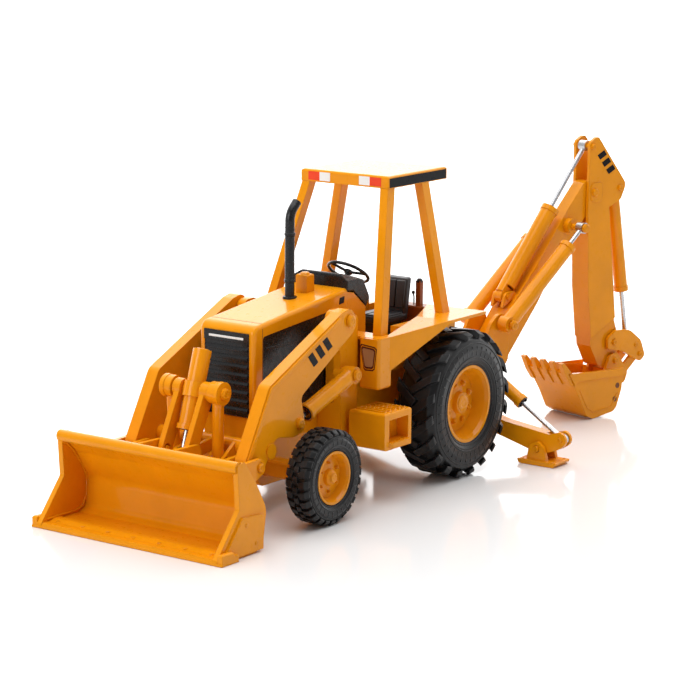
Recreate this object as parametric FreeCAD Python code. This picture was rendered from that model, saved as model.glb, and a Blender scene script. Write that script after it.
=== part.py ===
import FreeCAD, Part
import math
import os

os.makedirs("parts", exist_ok=True)
V = FreeCAD.Vector

# Toy backhoe loader, millimetres. +X is forward, +Y is the machine's left, +Z is up.
# Every shape is drawn with x = 0 at the rear axle and z = 0 on the ground, then moved by CENTRE_X.
CENTRE_X = 0.22

# fits
RUN = 0.05            # radial clearance of a running fit
RIM_FIT = 0.05        # radial clearance of a rim on its stub
FACE = 0.1            # side gap between moving faces

# wheels
WHEELBASE = 42.0
REAR_R = 13.5         # rear tyre radius
REAR_Y0 = 11.3        # rear tyre inner face
REAR_Y1 = 19.9        # rear tyre outer face
REAR_RIM_R = 7.1
REAR_LUGS = 20
FRONT_R = 8.2
FRONT_Y0 = 14.9
FRONT_Y1 = 19.9
FRONT_RIM_R = 4.6
FRONT_LUGS = 28
REAR_STUB_R = 1.5
FRONT_STUB_R = 1.0

# hood and frame
HOOD_W = 5.9          # half width
HOOD_X0 = 19.6
HOOD_X1 = 46.3
HOOD_Z0 = 17.1
FRAME_W = 5.2
STACK_X = 28.6        # exhaust pipe
STACK_R = 0.85

# loader, points in the XZ plane
ARM_PIVOT = (28.6, 32.3)
LIFT_BASE = (26.6, 22.4)
LIFT_ROD = (43.0, 16.9)
BUCKET_PIN = (55.6, 11.9)
LEVER_PIN = (54.6, 11.0)
CROSS_PIN = (54.9, 23.1)
LINK_PIN = (59.6, 13.6)
TILT_FOOT = (58.3, 12.6)
CROSS_TUBE = (51.0, 13.6)
ARM_Y0 = 10.7
ARM_Y1 = 13.0
BUCKET_W = 19.3       # half width over the side plates
EDGE_W = 20.4         # half width over the cutting edge

# backhoe, points in the swung plane: distance behind the swing axis, height
SWING_X = -21.5
SWING_DEG = 13.7
BOOM_FOOT = (10.6, 15.2)
BOOM_BASE = (11.2, 22.2)
BOOM_ROD = (31.2, 39.2)
STICK_PIN = (37.6, 45.4)
STICK_BASE = (14.8, 26.7)
STICK_ROD = (36.9, 54.6)
HOE_BASE = (45.0, 45.7)
HOE_ROD = (50.6, 12.9)
MOON_PIN = (44.0, 14.3)
MOON_LINK = (51.7, 10.9)
HOE_PIN = (44.6, 10.4)
HOE_LINK = (47.0, 7.0)
BOOM_CYL_W = 5.3      # side offset of the boom cylinders
HOE_W = 5.7           # half width of the hoe bucket

# stabilizers, points in the YZ plane of the left side
STAB_X = -17.0
STAB_LEG = (8.5, 8.0)
STAB_BASE = (8.5, 18.5)
STAB_ROD = (29.2, 5.1)
PAD_PIN = (24.7, 3.0)

# canopy
ROOF_X0 = -6.2
ROOF_X1 = 12.4
ROOF_W = 9.6
ROOF_Z0 = 53.2
ROOF_Z1 = 55.4


# ---------- basic shapes ----------

def block(x0, x1, y0, y1, z0, z1):
    return Part.makeBox(x1 - x0, y1 - y0, z1 - z0, V(x0, y0, z0))


def bar(a, b, radius):
    """Round bar between two points."""
    axis = b.sub(a)
    return Part.makeCylinder(radius, axis.Length, a, axis)


def pin_y(point, y0, y1, radius):
    """Round pin along Y through a point of the XZ plane."""
    return Part.makeCylinder(radius, y1 - y0, V(point[0], y0, point[1]), V(0, 1, 0))


def pin_x(point, x0, x1, radius):
    """Round pin along X through a point of the YZ plane."""
    return Part.makeCylinder(radius, x1 - x0, V(x0, point[0], point[1]), V(1, 0, 0))


def rounded_wire(points):
    """Closed wire through (a, b, corner radius) points in the XZ plane."""
    edges = []
    starts = []
    count = len(points)
    for i in range(count):
        here = V(points[i][0], 0, points[i][1])
        before = V(points[i - 1][0], 0, points[i - 1][1])
        after = V(points[(i + 1) % count][0], 0, points[(i + 1) % count][1])
        radius = points[i][2] if len(points[i]) > 2 else 0
        if radius == 0:
            starts.append((here, here, None))
            continue
        to_before = before.sub(here).normalize()
        to_after = after.sub(here).normalize()
        half = to_before.getAngle(to_after) / 2
        reach = radius / math.tan(half)
        middle = to_before.add(to_after).normalize()
        peak = here.add(middle.multiply(radius / math.sin(half) - radius))
        first = here.add(to_before.multiply(reach))
        last = here.add(to_after.multiply(reach))
        starts.append((first, last, peak))
    for i in range(count):
        first, last, peak = starts[i]
        if peak is not None:
            edges.append(Part.Arc(first, peak, last).toShape())
        following = starts[(i + 1) % count][0]
        if last.distanceToPoint(following) > 1e-6:
            edges.append(Part.makeLine(last, following))
    return Part.Wire(edges)


def plate(points, y0, y1):
    """Plate with a rounded XZ outline, between two Y values."""
    face = Part.Face(rounded_wire(points))
    solid = face.extrude(V(0, y1 - y0, 0))
    solid.translate(V(0, y0, 0))
    return solid


def plate_x(points, x0, x1):
    """Plate with a rounded YZ outline, between two X values."""
    solid = plate(points, -x1, -x0)
    solid.rotate(V(0, 0, 0), V(0, 0, 1), 90)
    return solid


def plan_plate(points, z0, z1):
    """Plate with a rounded XY outline, between two Z values."""
    solid = plate([(p[0], -p[1]) + tuple(p[2:]) for p in points], z0, z1)
    solid.rotate(V(0, 0, 0), V(1, 0, 0), 90)
    return solid


def strap(a, b, radius, y0, y1):
    """Link plate with round ends about two points of the XZ plane."""
    along = V(b[0] - a[0], 0, b[1] - a[1]).normalize()
    side = V(-along.z, 0, along.x).multiply(radius)
    corners = [V(a[0], 0, a[1]).add(side), V(b[0], 0, b[1]).add(side)]
    corners += [V(b[0], 0, b[1]).sub(side), V(a[0], 0, a[1]).sub(side)]
    middle = plate([(c.x, c.z) for c in corners], y0, y1)
    return fuse([middle, pin_y(a, y0, y1, radius), pin_y(b, y0, y1, radius)])


def turned(profile, centre, y_sign):
    """Body of revolution about Y from (radius, y) points."""
    points = [V(p[0], p[1], 0) for p in profile]
    face = Part.Face(Part.makePolygon(points + [points[0]]))
    solid = face.revolve(V(0, 0, 0), V(0, 1, 0), 360)
    if y_sign < 0:
        solid = flip(solid)
    solid.translate(V(centre[0], 0, centre[1]))
    return solid


def ruled(sections):
    """Solid with flat sides through matching polygons."""
    wires = [Part.makePolygon([V(*p) for p in s] + [V(*s[0])]) for s in sections]
    return Part.makeLoft(wires, True, True)


def fuse(shapes):
    return shapes[0].multiFuse(shapes[1:]).removeSplitter()


def flip(shape):
    """Mirror to the other side of the machine."""
    return shape.mirror(V(0, 0, 0), V(0, 1, 0))


def both(shape):
    return [shape, flip(shape)]


def group(shapes):
    return Part.makeCompound(shapes)


def soften(shape, radius, test):
    """Fillet the edges whose middle point passes a test."""
    chosen = [e for e in shape.Edges if test(e.CenterOfMass, e)]
    return shape.makeFillet(radius, chosen)


def between(a, b, distance):
    """Point at a distance from a towards b."""
    length = math.hypot(b[0] - a[0], b[1] - a[1])
    return (a[0] + (b[0] - a[0]) * distance / length, a[1] + (b[1] - a[1]) * distance / length)


def at(point, y):
    return V(point[0], y, point[1])


def aligned_block(base, far, tilt, ahead, over, side):
    """Block whose length runs from base towards far, tilted by some degrees in the XZ plane."""
    angle = math.degrees(math.atan2(far[1] - base[1], far[0] - base[0])) + tilt
    solid = block(ahead[0], ahead[1], side[0], side[1], over[0], over[1])
    solid.rotate(V(0, 0, 0), V(0, 1, 0), -angle)
    solid.translate(V(base[0], 0, base[1]))
    return solid


# ---------- wheels ----------

def lug_ring(outer, base, mid, edge, count, width, skew, phase):
    """One side's tread lugs as bars that lean across the tread."""
    lugs = []
    overlap = 0.3
    reach = abs(edge - mid)
    for i in range(count):
        lug = block(-width / 2, width / 2, 0, reach, base - overlap, outer)
        lug.rotate(V(0, 0, 0), V(0, 0, 1), skew)
        if edge < mid:
            lug = flip(lug)
        lug.translate(V(0, mid, 0))
        lug.rotate(V(0, 0, 0), V(0, 1, 0), (i + phase) * 360.0 / count)
        lugs.append(lug)
    return lugs


def tyre(carcass, outline, lugs, centre, y_sign):
    """Carcass with lugs that are trimmed to the outline of the tread."""
    body = turned(carcass, (0, 0), 1)
    tread = turned(outline, (0, 0), 1)
    trimmed = group(lugs).common(tread)
    solid = body.multiFuse(trimmed.Solids)
    if y_sign < 0:
        solid = flip(solid)
    solid.translate(V(centre[0], 0, centre[1]))
    return solid


def rear_tyre(y_sign):
    bead = REAR_RIM_R
    inner = REAR_Y0
    outer = REAR_Y1
    carcass = [(bead, inner + 0.7), (8.2, inner + 0.15), (10.0, inner), (11.8, inner + 0.4),
               (12.6, inner + 1.4),
               (12.8, (inner + outer) / 2), (12.6, outer - 1.4), (11.8, outer - 0.4), (10.0, outer),
               (8.2, outer - 0.15), (bead, outer - 0.7)]
    outline = [(11.2, inner + 0.2), (12.8, inner + 0.2), (REAR_R, inner + 1.0), (REAR_R, outer - 1.0),
               (12.8, outer - 0.2), (11.2, outer - 0.2)]
    mid = (inner + outer) / 2
    lugs = lug_ring(REAR_R + 1, 12.2, mid - 0.5, outer + 3, REAR_LUGS, 1.35, 35, 0)
    lugs += lug_ring(REAR_R + 1, 12.2, mid + 0.5, inner - 3, REAR_LUGS, 1.35, 35, 0.5)
    return tyre(carcass, outline, lugs, (0, REAR_R), y_sign)


def front_tyre(y_sign):
    bead = FRONT_RIM_R
    inner = FRONT_Y0
    outer = FRONT_Y1
    carcass = [(bead, inner + 0.45), (5.4, inner + 0.1), (6.5, inner), (7.3, inner + 0.3), (7.7, inner + 0.9),
               (7.75, (inner + outer) / 2), (7.7, outer - 0.9), (7.3, outer - 0.3), (6.5, outer),
               (5.4, outer - 0.1), (bead, outer - 0.45)]
    outline = [(7.0, inner + 0.1), (7.6, inner + 0.1), (FRONT_R, inner + 0.7), (FRONT_R, outer - 0.7),
               (7.6, outer - 0.1), (7.0, outer - 0.1)]
    mid = (inner + outer) / 2
    lugs = lug_ring(FRONT_R + 1, 7.6, mid + 0.65, outer + 1, FRONT_LUGS, 1.1, 12, 0)
    lugs += lug_ring(FRONT_R + 1, 7.6, mid - 0.65, inner - 1, FRONT_LUGS, 1.1, 12, 0)
    lugs += lug_ring(FRONT_R + 1, 7.6, mid - 0.45, mid + 0.45, FRONT_LUGS, 1.1, 0, 0.5)
    return tyre(carcass, outline, lugs, (WHEELBASE, FRONT_R), y_sign)


def bolt_circle(count, circle, radius, y0, y1):
    bolts = []
    for i in range(count):
        turn = 2 * math.pi * (i + 0.5) / count
        bolts.append(pin_y((circle * math.cos(turn), circle * math.sin(turn)), y0, y1, radius))
    return bolts


def rear_rim(y_sign):
    bore = REAR_STUB_R + RIM_FIT
    profile = [(0, 16.9), (0, 17.9), (1.9, 17.9), (2.1, 17.0), (5.5, 16.4), (6.2, 18.6), (6.55, 19.3),
               (REAR_RIM_R, 19.3), (REAR_RIM_R, 12.0), (6.4, 12.0), (5.9, 15.2), (2.8, 15.0),
               (2.6, 12.5), (bore, 12.5), (bore, 16.9)]
    dish = turned(profile, (0, 0), 1)
    solid = fuse([dish] + bolt_circle(8, 3.6, 0.5, 16.4, 17.3))
    if y_sign < 0:
        solid = flip(solid)
    solid.translate(V(0, 0, REAR_R))
    return solid


def front_rim(y_sign):
    bore = FRONT_STUB_R + RIM_FIT
    profile = [(0, 18.0), (0, 19.5), (0.9, 19.4), (1.35, 19.0), (1.5, 18.4), (3.6, 18.1), (3.95, 19.2),
               (4.2, 19.65), (FRONT_RIM_R, 19.65), (FRONT_RIM_R, 15.35), (4.1, 15.35), (3.9, 17.2),
               (2.0, 17.0), (1.8, 15.2), (bore, 15.2), (bore, 18.0)]
    dish = turned(profile, (0, 0), 1)
    solid = fuse([dish] + bolt_circle(6, 2.5, 0.28, 18.0, 18.6))
    if y_sign < 0:
        solid = flip(solid)
    solid.translate(V(WHEELBASE, 0, FRONT_R))
    return solid


def front_axle():
    centre = (WHEELBASE, FRONT_R)
    beam = block(WHEELBASE - 1.6, WHEELBASE + 1.6, -11.4, 11.4, FRONT_R - 1.5, FRONT_R + 1.5)
    beam = soften(beam, 0.5, lambda c, e: abs(c.y) < 1)
    parts = [beam]
    for sign in (1, -1):
        ends = sorted((sign * 11.2, sign * 14.6))
        parts.append(pin_y(centre, ends[0], ends[1], 1.8))
        ends = sorted((sign * 14.0, sign * 17.8))
        parts.append(pin_y(centre, ends[0], ends[1], FRONT_STUB_R))
    return fuse(parts)


def rear_axle():
    centre = (0, REAR_R)
    parts = [pin_y(centre, -11.0, 11.0, 2.4)]
    for sign in (1, -1):
        ends = sorted((sign * 10.7, sign * 12.1))
        parts.append(pin_y(centre, ends[0], ends[1], 3.0))
        ends = sorted((sign * 11.8, sign * 16.7))
        parts.append(pin_y(centre, ends[0], ends[1], REAR_STUB_R))
    return fuse(parts)


# ---------- frame and hood ----------

def chassis_frame():
    nose = [(46.0, HOOD_Z0), (46.0, 9.5, 1.0), (43.5, 4.8, 1.0), (24.0, 4.8, 2.0), (17.0, 8.6, 2.0),
            (-11.5, 8.6), (-11.5, 19.9), (19.6, 19.9), (19.6, HOOD_Z0)]
    body = plate(nose, -FRAME_W, FRAME_W)
    holes = [block(WHEELBASE - 1.6, WHEELBASE + 1.6, -11.4, 11.4, FRONT_R - 1.5, FRONT_R + 1.5)]
    holes.append(pin_y((0, REAR_R), -11, 11, 2.4))
    return body.cut(group(holes))


def hood_outline(inset):
    return [(HOOD_X0 + inset, HOOD_Z0 + inset), (HOOD_X1 - inset, HOOD_Z0 + inset),
            (HOOD_X1 - inset, 32.9 - inset, 1.6 - inset), (HOOD_X0 + inset, 36.0 - inset)]


def hood():
    body = plate(hood_outline(0), -HOOD_W, HOOD_W)
    body = soften(body, 0.7, lambda c, e: abs(abs(c.y) - HOOD_W) < 0.01 and c.z > 30)
    grille_seat = block(HOOD_X1 - 0.6, HOOD_X1 + 1, -4.8, 4.8, HOOD_Z0 - 1, 31.7)
    panel_seats = [panel_plate(0.0, HOOD_W - 0.35, HOOD_W + 1)]
    panel_seats.append(flip(panel_seats[0]))
    stack_hole = Part.makeCylinder(STACK_R, 6, V(STACK_X, 0, 31))
    return body.cut(group([grille_seat, stack_hole] + panel_seats))


def panel_plate(inset, y0, y1):
    """Outline of the black side panel of the hood."""
    corners = [(23.0 + inset, HOOD_Z0 + 0.3), (43.9 - inset, HOOD_Z0 + 0.3),
               (43.9 - inset, 31.0 - inset, 0.6), (22.0 + inset, 32.9 - inset, 0.6)]
    return plate(corners, y0, y1)


def hood_panels():
    panel = panel_plate(0.0, HOOD_W - 0.35, HOOD_W - 0.1)
    ribs = [block(24.0, 43.0, HOOD_W - 0.2, HOOD_W - 0.02, z, z + 0.35) for z in (19.0, 28.6)]
    return group(both(fuse([panel] + ribs)))


def grille():
    back = block(HOOD_X1 - 0.6, HOOD_X1 - 0.1, -4.8, 4.8, HOOD_Z0 + 0.1, 31.7)
    parts = [back]
    pitch = 1.5
    for i in range(8):
        z = 18.0 + i * pitch
        section = [(HOOD_X1 - 0.2, z), (HOOD_X1 + 0.25, z), (HOOD_X1 + 0.25, z + 0.35),
                   (HOOD_X1 - 0.2, z + 0.9)]
        parts.append(plate(section, -4.5, 4.5))
    parts.append(block(HOOD_X1 - 0.2, HOOD_X1 + 0.2, -4.8, 4.8, 30.0, 31.7))
    return fuse(parts)


def exhaust_stack():
    """Upright pipe that curves rearward into an open tip."""
    bend = 3.2
    top = 48.4
    turn = math.radians(47)
    start = V(STACK_X, 0, 31)
    low = V(STACK_X, 0, top)
    mid = V(STACK_X - bend * (1 - math.cos(turn / 2)), 0, top + bend * math.sin(turn / 2))
    high = V(STACK_X - bend * (1 - math.cos(turn)), 0, top + bend * math.sin(turn))
    tip = high.add(V(-math.sin(turn), 0, math.cos(turn)).multiply(1.3))
    path = Part.Wire([Part.makeLine(start, low), Part.Arc(low, mid, high).toShape(),
                      Part.makeLine(high, tip)])
    ring = Part.Wire([Part.makeCircle(STACK_R, start, V(0, 0, 1))])
    pipe = path.makePipeShell([ring], True, False)
    bore = bar(high, tip.add(tip.sub(high)), STACK_R - 0.25)
    return pipe.cut(bore)


def pre_cleaner():
    box = block(22.9, 25.1, -1.3, 1.1, 34.8, 38.6)
    box = soften(box, 0.3, lambda c, e: c.z > 37)
    return box.cut(plate(hood_outline(0), -HOOD_W, HOOD_W))


def loader_towers():
    """Plates beside the hood that carry the arm pivots and the lift cylinder bases."""
    outer = [(22.4, HOOD_Z0), (27.4, HOOD_Z0), (27.6, 26.0), (30.2, 31.0, 1.3), (30.2, 33.8, 1.4),
             (27.4, 33.9, 1.4),
             (22.4, 32.0, 0.8)]
    web = plate(outer, 8.8, ARM_Y0 - 0.4)
    root = block(22.4, 26.0, HOOD_W + FACE, 8.8, HOOD_Z0, 31.0)
    foot = block(22.4, 27.4, FRAME_W, ARM_Y0 - 0.4, 11.0, HOOD_Z0)
    bosses = [pin_y(ARM_PIVOT, ARM_Y0 - 0.5, ARM_Y0 - FACE, 1.5), pin_y(LIFT_BASE, 8.9, ARM_Y0 - FACE, 1.3)]
    tower = fuse([web, root, foot] + bosses)
    holes = [pin_y(ARM_PIVOT, 7.5, 14, 0.8), pin_y(LIFT_BASE, 7.5, 14, 0.7)]
    return group(both(tower.cut(group(holes))))


def frame_pins():
    """Pins that stay in the frame: arm pivots, lift cylinder bases, swing pin, stabilizer pivots."""
    parts = []
    for point, radius in ((ARM_PIVOT, 0.8), (LIFT_BASE, 0.7)):
        shaft = pin_y(point, 8.8, ARM_Y1 + 0.2, radius)
        head = pin_y(point, ARM_Y1 + FACE, ARM_Y1 + 0.45, radius + 0.35)
        parts += both(fuse([shaft, head]))
    parts.append(Part.makeCylinder(1.2, 13.4, V(SWING_X, 0, 7.3)))
    for point in (STAB_LEG, STAB_BASE):
        shaft = pin_x(point, STAB_X - 1.4, STAB_X + 3.0, 0.7)
        head = pin_x(point, STAB_X - 1.65, STAB_X - 1.3, 1.1)
        parts += both(fuse([shaft, head]))
    return group(parts)


def rear_frame():
    body = block(-15.6, -11.5, -10.2, 10.2, 5.4, 20.6)
    body = soften(body, 0.8, lambda c, e: abs(abs(c.y) - 10.2) < 0.01 and abs(c.z - 13) < 1)
    lugs = []
    for z0 in (7.5, 18.6):
        outline = [(-15.0, -3.4), (-20.6, -2.2), (-23.8, -2.0, 1.9), (-23.8, 2.0, 1.9), (-20.6, 2.2),
                   (-15.0, 3.4)]
        lugs.append(plan_plate(outline, z0, z0 + 1.9))
    solid = fuse([body] + lugs)
    holes = [Part.makeCylinder(1.2, 14, V(SWING_X, 0, 7.2))]
    for point in (STAB_LEG, STAB_BASE):
        holes += both(pin_x(point, STAB_X - 1, STAB_X + 3.0, 0.7))
    return solid.cut(group(holes))


# ---------- operator station ----------

def station(x, corners):
    """Closed section of a fender part: (y, z) corners at one x."""
    return [(x, c[0], c[1]) for c in corners]


def fender():
    """Left fender: a sloping skin that opens into a flat deck, with a riser and a shelf inside it."""
    front = station(19.6, [(14.3, 28.35), (15.2, 28.35), (15.2, 22.2), (14.3, 22.2)])
    crest = station(6.5, [(12.0, 29.2), (12.0, 29.8), (19.4, 29.9), (19.4, 29.35)])
    tail = station(-5.0, [(6.6, 29.2), (6.6, 29.8), (19.4, 29.9), (19.4, 29.35)])
    risers = []
    for x, y in ((9.0, 12.6), (6.5, 12.0), (-5.0, 6.6)):
        risers.append(station(x, [(y, 27.4), (y + 0.7, 27.4), (y + 0.7, 29.4), (y, 29.4)]))
    shelf = plan_plate([(9.0, 8.0), (9.0, 12.9), (6.5, 12.3), (-2.4, 8.2), (-5.0, 6.9), (-5.0, 8.5)], 27.4,
                       28.0)
    skins = [ruled([front, crest]), ruled([crest, tail]), ruled(risers[:2]), ruled(risers[1:])]
    return fuse(skins + [shelf])


def pillar():
    """Foot of the front post, with the sill and the wall that join it to the dash."""
    box = block(19.2, 22.9, 10.9, 15.2, 19.3, 28.3)
    box = soften(box, 0.6, lambda c, e: c.x > 22.8 and abs(c.z - 23.8) < 1)
    box = soften(box, 0.5, lambda c, e: c.z < 19.4)
    sill = block(18.2, 22.2, 5.9, 15.2, 27.8, 28.35)
    wall = block(18.6, 19.6, 5.9, 14.8, 20.0, 28.3)
    return fuse([box, sill, wall])


def cab_platform():
    floor = block(-9.4, 19.6, -9.2, 9.2, 20.0, 21.2)
    walls = [block(-9.4, 9.0, 8.0, 9.2, 20.0, 27.9), block(9.0, 19.0, 8.0, 9.2, 20.0, 25.0)]
    back = block(-10.4, -9.2, -9.2, 9.2, 20.0, 27.5)
    console = plate(dash_outline(), -5.9, 5.9)
    sides = [fender(), pillar()] + walls
    return fuse([floor, back, console] + sides + [flip(shape) for shape in sides])


def dash_outline():
    return [(13.9, 21.0), (19.6, 21.0), (19.6, 35.4), (17.6, 35.0, 0.8), (13.9, 32.0, 0.8)]


def dash_cowl():
    """Instrument cowl on top of the dash, shallower towards its ends."""
    outline = [(19.6, 35.42), (19.6, 38.6, 0.6), (14.6, 37.0, 0.6), (12.6, 33.6, 0.4), (13.7, 32.1),
               (17.5, 35.2)]
    body = plate(outline, -6.0, 6.0).cut(plate(dash_outline(), -7, 7))
    slopes = []
    for sign in (1, -1):
        edge = [(sign * 3.2, 39.0), (sign * 6.5, 39.0), (sign * 6.5, 37.0)]
        slopes.append(plate_x(edge, 12, 20))
    body = body.cut(group(slopes))
    return soften(body, 0.3, lambda c, e: abs(abs(c.y) - 6.0) < 0.01 and c.z > 34 and e.Length > 2)


def steering_wheel():
    centre = V(11.0, 0, 37.2)
    lean = 35
    radius = 4.1
    ring = Part.makeTorus(radius - 0.3, 0.3, centre)
    spokes = []
    for i in range(3):
        turn = math.radians(90 + 120 * i)
        reach = radius - 0.4
        spokes.append(bar(centre, centre.add(V(reach * math.cos(turn), reach * math.sin(turn), 0)), 0.26))
    hub = Part.makeCylinder(0.75, 0.6, centre.sub(V(0, 0, 0.3)))
    column = Part.makeCylinder(0.5, 4.8, centre.sub(V(0, 0, 4.8)))
    wheel = fuse([ring, hub, column] + spokes)
    wheel.rotate(centre, V(0, 1, 0), -lean)
    return wheel.cut(group([dash_cowl(), plate(dash_outline(), -6, 6)]))


def seat():
    cushion = block(-3.6, 4.2, -3.1, 3.1, 26.5, 28.7)
    cushion = soften(cushion, 0.6, lambda c, e: c.z > 27)
    back_outline = [(-3.9, 26.5), (-1.9, 26.5), (-2.9, 34.6, 0.8), (-5.3, 34.6, 0.8)]
    back = plate(back_outline, -3.0, 3.0)
    back = soften(back, 0.4, lambda c, e: abs(abs(c.y) - 3.0) < 0.01 and c.z > 28)
    pedestal = block(-3.0, 3.4, -2.6, 2.6, 21.2, 26.5)
    return fuse([cushion, back, pedestal])


def control_console():
    box = block(-9.2, -5.9, -6.0, 6.0, 21.2, 28.9)
    box = soften(box, 0.4, lambda c, e: c.z > 28.8)
    parts = [box]
    for y in (-3.6, 3.6):
        parts.append(block(-7.2, -6.2, y - 0.5, y + 0.5, 28.7, 33.6))
    return fuse(parts)


def step_boxes():
    x0, x1 = 18.2, 26.4
    y0, y1 = 11.4, 19.0
    z0, z1 = 9.6, 16.2
    box = block(x0, x1, y0, y1, z0, z1)
    box = soften(box, 0.5, lambda c, e: c.z > z1 - 0.01 or (c.z < z0 + 0.01 and c.x > x1 - 0.1))
    opening = block(x0 + 1.0, x1 - 1.4, y1 - 2.4, y1 + 1, z0 + 1.3, z1 - 1.3)
    lip = plan_plate([(x0 + 0.6, y1 - 0.5), (x1 - 1.0, y1 - 0.5), (x1 - 1.6, y1 + 0.7, 0.3),
                      (x0 + 1.0, y1 + 0.7, 0.3)], z0 + 0.5, z0 + 1.3)
    solid = fuse([box.cut(opening), lip])
    rows = []
    for i in range(6):
        x = x0 + 1.3 + i * 1.1
        rows.append(block(x, x + 0.45, y0 + 0.8, y1 - 0.9, z1 - 0.1, z1 + 0.18))
    solid = fuse([solid] + rows)
    bracket = block(19.6, 24.0, FRAME_W, y0, 10.6, 13.6).cut(loader_towers())
    return group(both(fuse([solid, bracket])))


# ---------- canopy ----------

def post(foot, head, dx, dy):
    sections = []
    for x, y, z in (foot, head):
        sections.append([(x - dx, y - dy, z), (x + dx, y - dy, z), (x + dx, y + dy, z), (x - dx, y + dy, z)])
    return ruled(sections)


def canopy_posts():
    front = post((18.9, 12.6, 28.0), (11.3, 8.6, ROOF_Z0), 1.05, 0.85)
    front = front.cut(group([fender(), pillar()]))
    rear = post((0.15, 13.3, 29.6), (0.75, 8.75, ROOF_Z0), 1.1, 0.85)
    rear = rear.cut(group([fender()]))
    return group(both(front) + both(rear))


def canopy_roof():
    slab = block(ROOF_X0, ROOF_X1, -ROOF_W, ROOF_W, ROOF_Z0, ROOF_Z1)
    slab = soften(slab, 0.45, lambda c, e: c.z > ROOF_Z1 - 0.01)
    hollow = block(ROOF_X0 + 2.6, ROOF_X1 - 2.6, -7.6, 7.6, ROOF_Z0 - 1, ROOF_Z1 - 0.9)
    return slab.cut(hollow)


# ---------- loader ----------

def arm_outline():
    return [(26.3, 31.0, 1.8), (27.9, 34.7, 1.8), (31.0, 34.0, 1.6), (51.4, 24.6, 1.8), (58.1, 12.6, 1.6),
            (56.2, 9.6, 1.6), (53.2, 10.4, 1.2), (49.4, 15.6, 1.5), (44.6, 14.8, 1.4), (41.2, 15.4, 1.4),
            (42.6, 21.4, 1.2)]


def loader_arms():
    arm = plate(arm_outline(), ARM_Y0, ARM_Y1)
    top = [(31.6, 33.4), (51.2, 24.3, 1.6), (57.6, 12.9), (56.9, 12.5), (50.6, 23.8, 1.4), (31.3, 32.7)]
    flange = plate(top, ARM_Y1 - 0.1, ARM_Y1 + 0.3)
    rod_slot = plate([(40.0, 19.6), (40.0, 15.4), (45.0, 15.2), (45.0, 18.5)], ARM_Y0 + 0.6, ARM_Y1 - 0.6)
    arm = fuse([arm, flange]).cut(rod_slot)
    tube = pin_y(CROSS_TUBE, -ARM_Y1 - 0.3, ARM_Y1 + 0.3, 1.3)
    parts = both(arm) + [tube]
    for y in (2.9, 5.7):
        parts += both(strap(CROSS_TUBE, LEVER_PIN, 1.25, y, y + 0.7))
    parts += both(strap(CROSS_TUBE, TILT_FOOT, 1.05, 0.85, 1.6))
    solid = fuse(parts)
    holes = both(pin_y(ARM_PIVOT, 9, 14, 0.8 + RUN))
    holes += both(pin_y(LIFT_ROD, 9, 14, 0.6)) + both(pin_y(BUCKET_PIN, 9, 14, 0.8))
    holes += both(pin_y(LEVER_PIN, 2.5, 7, 0.6)) + [pin_y(TILT_FOOT, -2, 2, 0.5)]
    return solid.cut(group(holes))


def arm_pins():
    """Pins that stay in the arms: lift rod eyes, bucket hinge, lever feet, tilt rod foot."""
    rod_pin = fuse([pin_y(LIFT_ROD, ARM_Y0, ARM_Y1 + 0.2, 0.6), pin_y(LIFT_ROD, ARM_Y1, ARM_Y1 + 0.4, 0.95)])
    hinge = pin_y(BUCKET_PIN, 9.3, 14.6, 0.8)
    lever = pin_y(LEVER_PIN, 2.9, 6.4, 0.6)
    return group(both(rod_pin) + both(hinge) + both(lever) + [pin_y(TILT_FOOT, -1.6, 1.6, 0.5)])


def cylinder_barrel(base, far, y, length, outer, bore, eye, eye_hole):
    """Hydraulic barrel with a base eye, a closed end and an open mouth."""
    start = between(base, far, 0.4)
    mouth = between(base, far, length)
    tube = bar(at(start, y), at(mouth, y), outer)
    collar = bar(at(between(base, far, length - 1.0), y), at(mouth, y), outer + 0.15)
    lug = pin_y(base, y - 0.8 * outer, y + 0.8 * outer, eye)
    inside = bar(at(between(base, far, eye + 0.5), y), at(between(base, far, length + 1), y), bore)
    hole = pin_y(base, y - 3, y + 3, eye_hole)
    return fuse([tube, collar, lug]).cut(group([inside, hole]))


def cylinder_rod(base, far, y, length, radius, eye, eye_hole, half):
    """Piston rod with an eye at its far pin."""
    full = math.hypot(far[0] - base[0], far[1] - base[1])
    shaft = bar(at(between(base, far, full - length), y), at(far, y), radius)
    lug = pin_y(far, y - half, y + half, eye)
    return fuse([shaft, lug]).cut(pin_y(far, y - 3, y + 3, eye_hole))


ARM_MID = (ARM_Y0 + ARM_Y1) / 2


def lift_barrels():
    barrel = cylinder_barrel(LIFT_BASE, LIFT_ROD, ARM_MID, 14.0, 1.45, 1.1, 1.5, 0.7 + RUN)
    keep = block(0, 60, ARM_Y0, ARM_Y1, 0, 60).fuse(block(28.2, 60, 9, 15, 0, 60))
    return group(both(barrel.common(keep)))


def lift_rods():
    return group(both(cylinder_rod(LIFT_BASE, LIFT_ROD, ARM_MID, 14.4, 0.5, 1.15, 0.6 + RUN, 0.5)))


def bucket_outline():
    return [(67.9, 14.9), (66.2, 15.8, 0.8), (63.4, 12.0, 2.5), (60.3, 6.8, 3.5), (61.3, 0.9, 1.6),
            (63.4, 0.0, 0.8), (73.4, 0.0)]


def bucket_inside():
    return [(69.5, 14.1), (67.0, 14.1, 0.6), (64.5, 11.6, 2.2), (61.5, 6.7, 2.8), (62.3, 1.6, 1.2),
            (64.0, 0.9, 0.6), (74.0, 0.9)]


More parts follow.
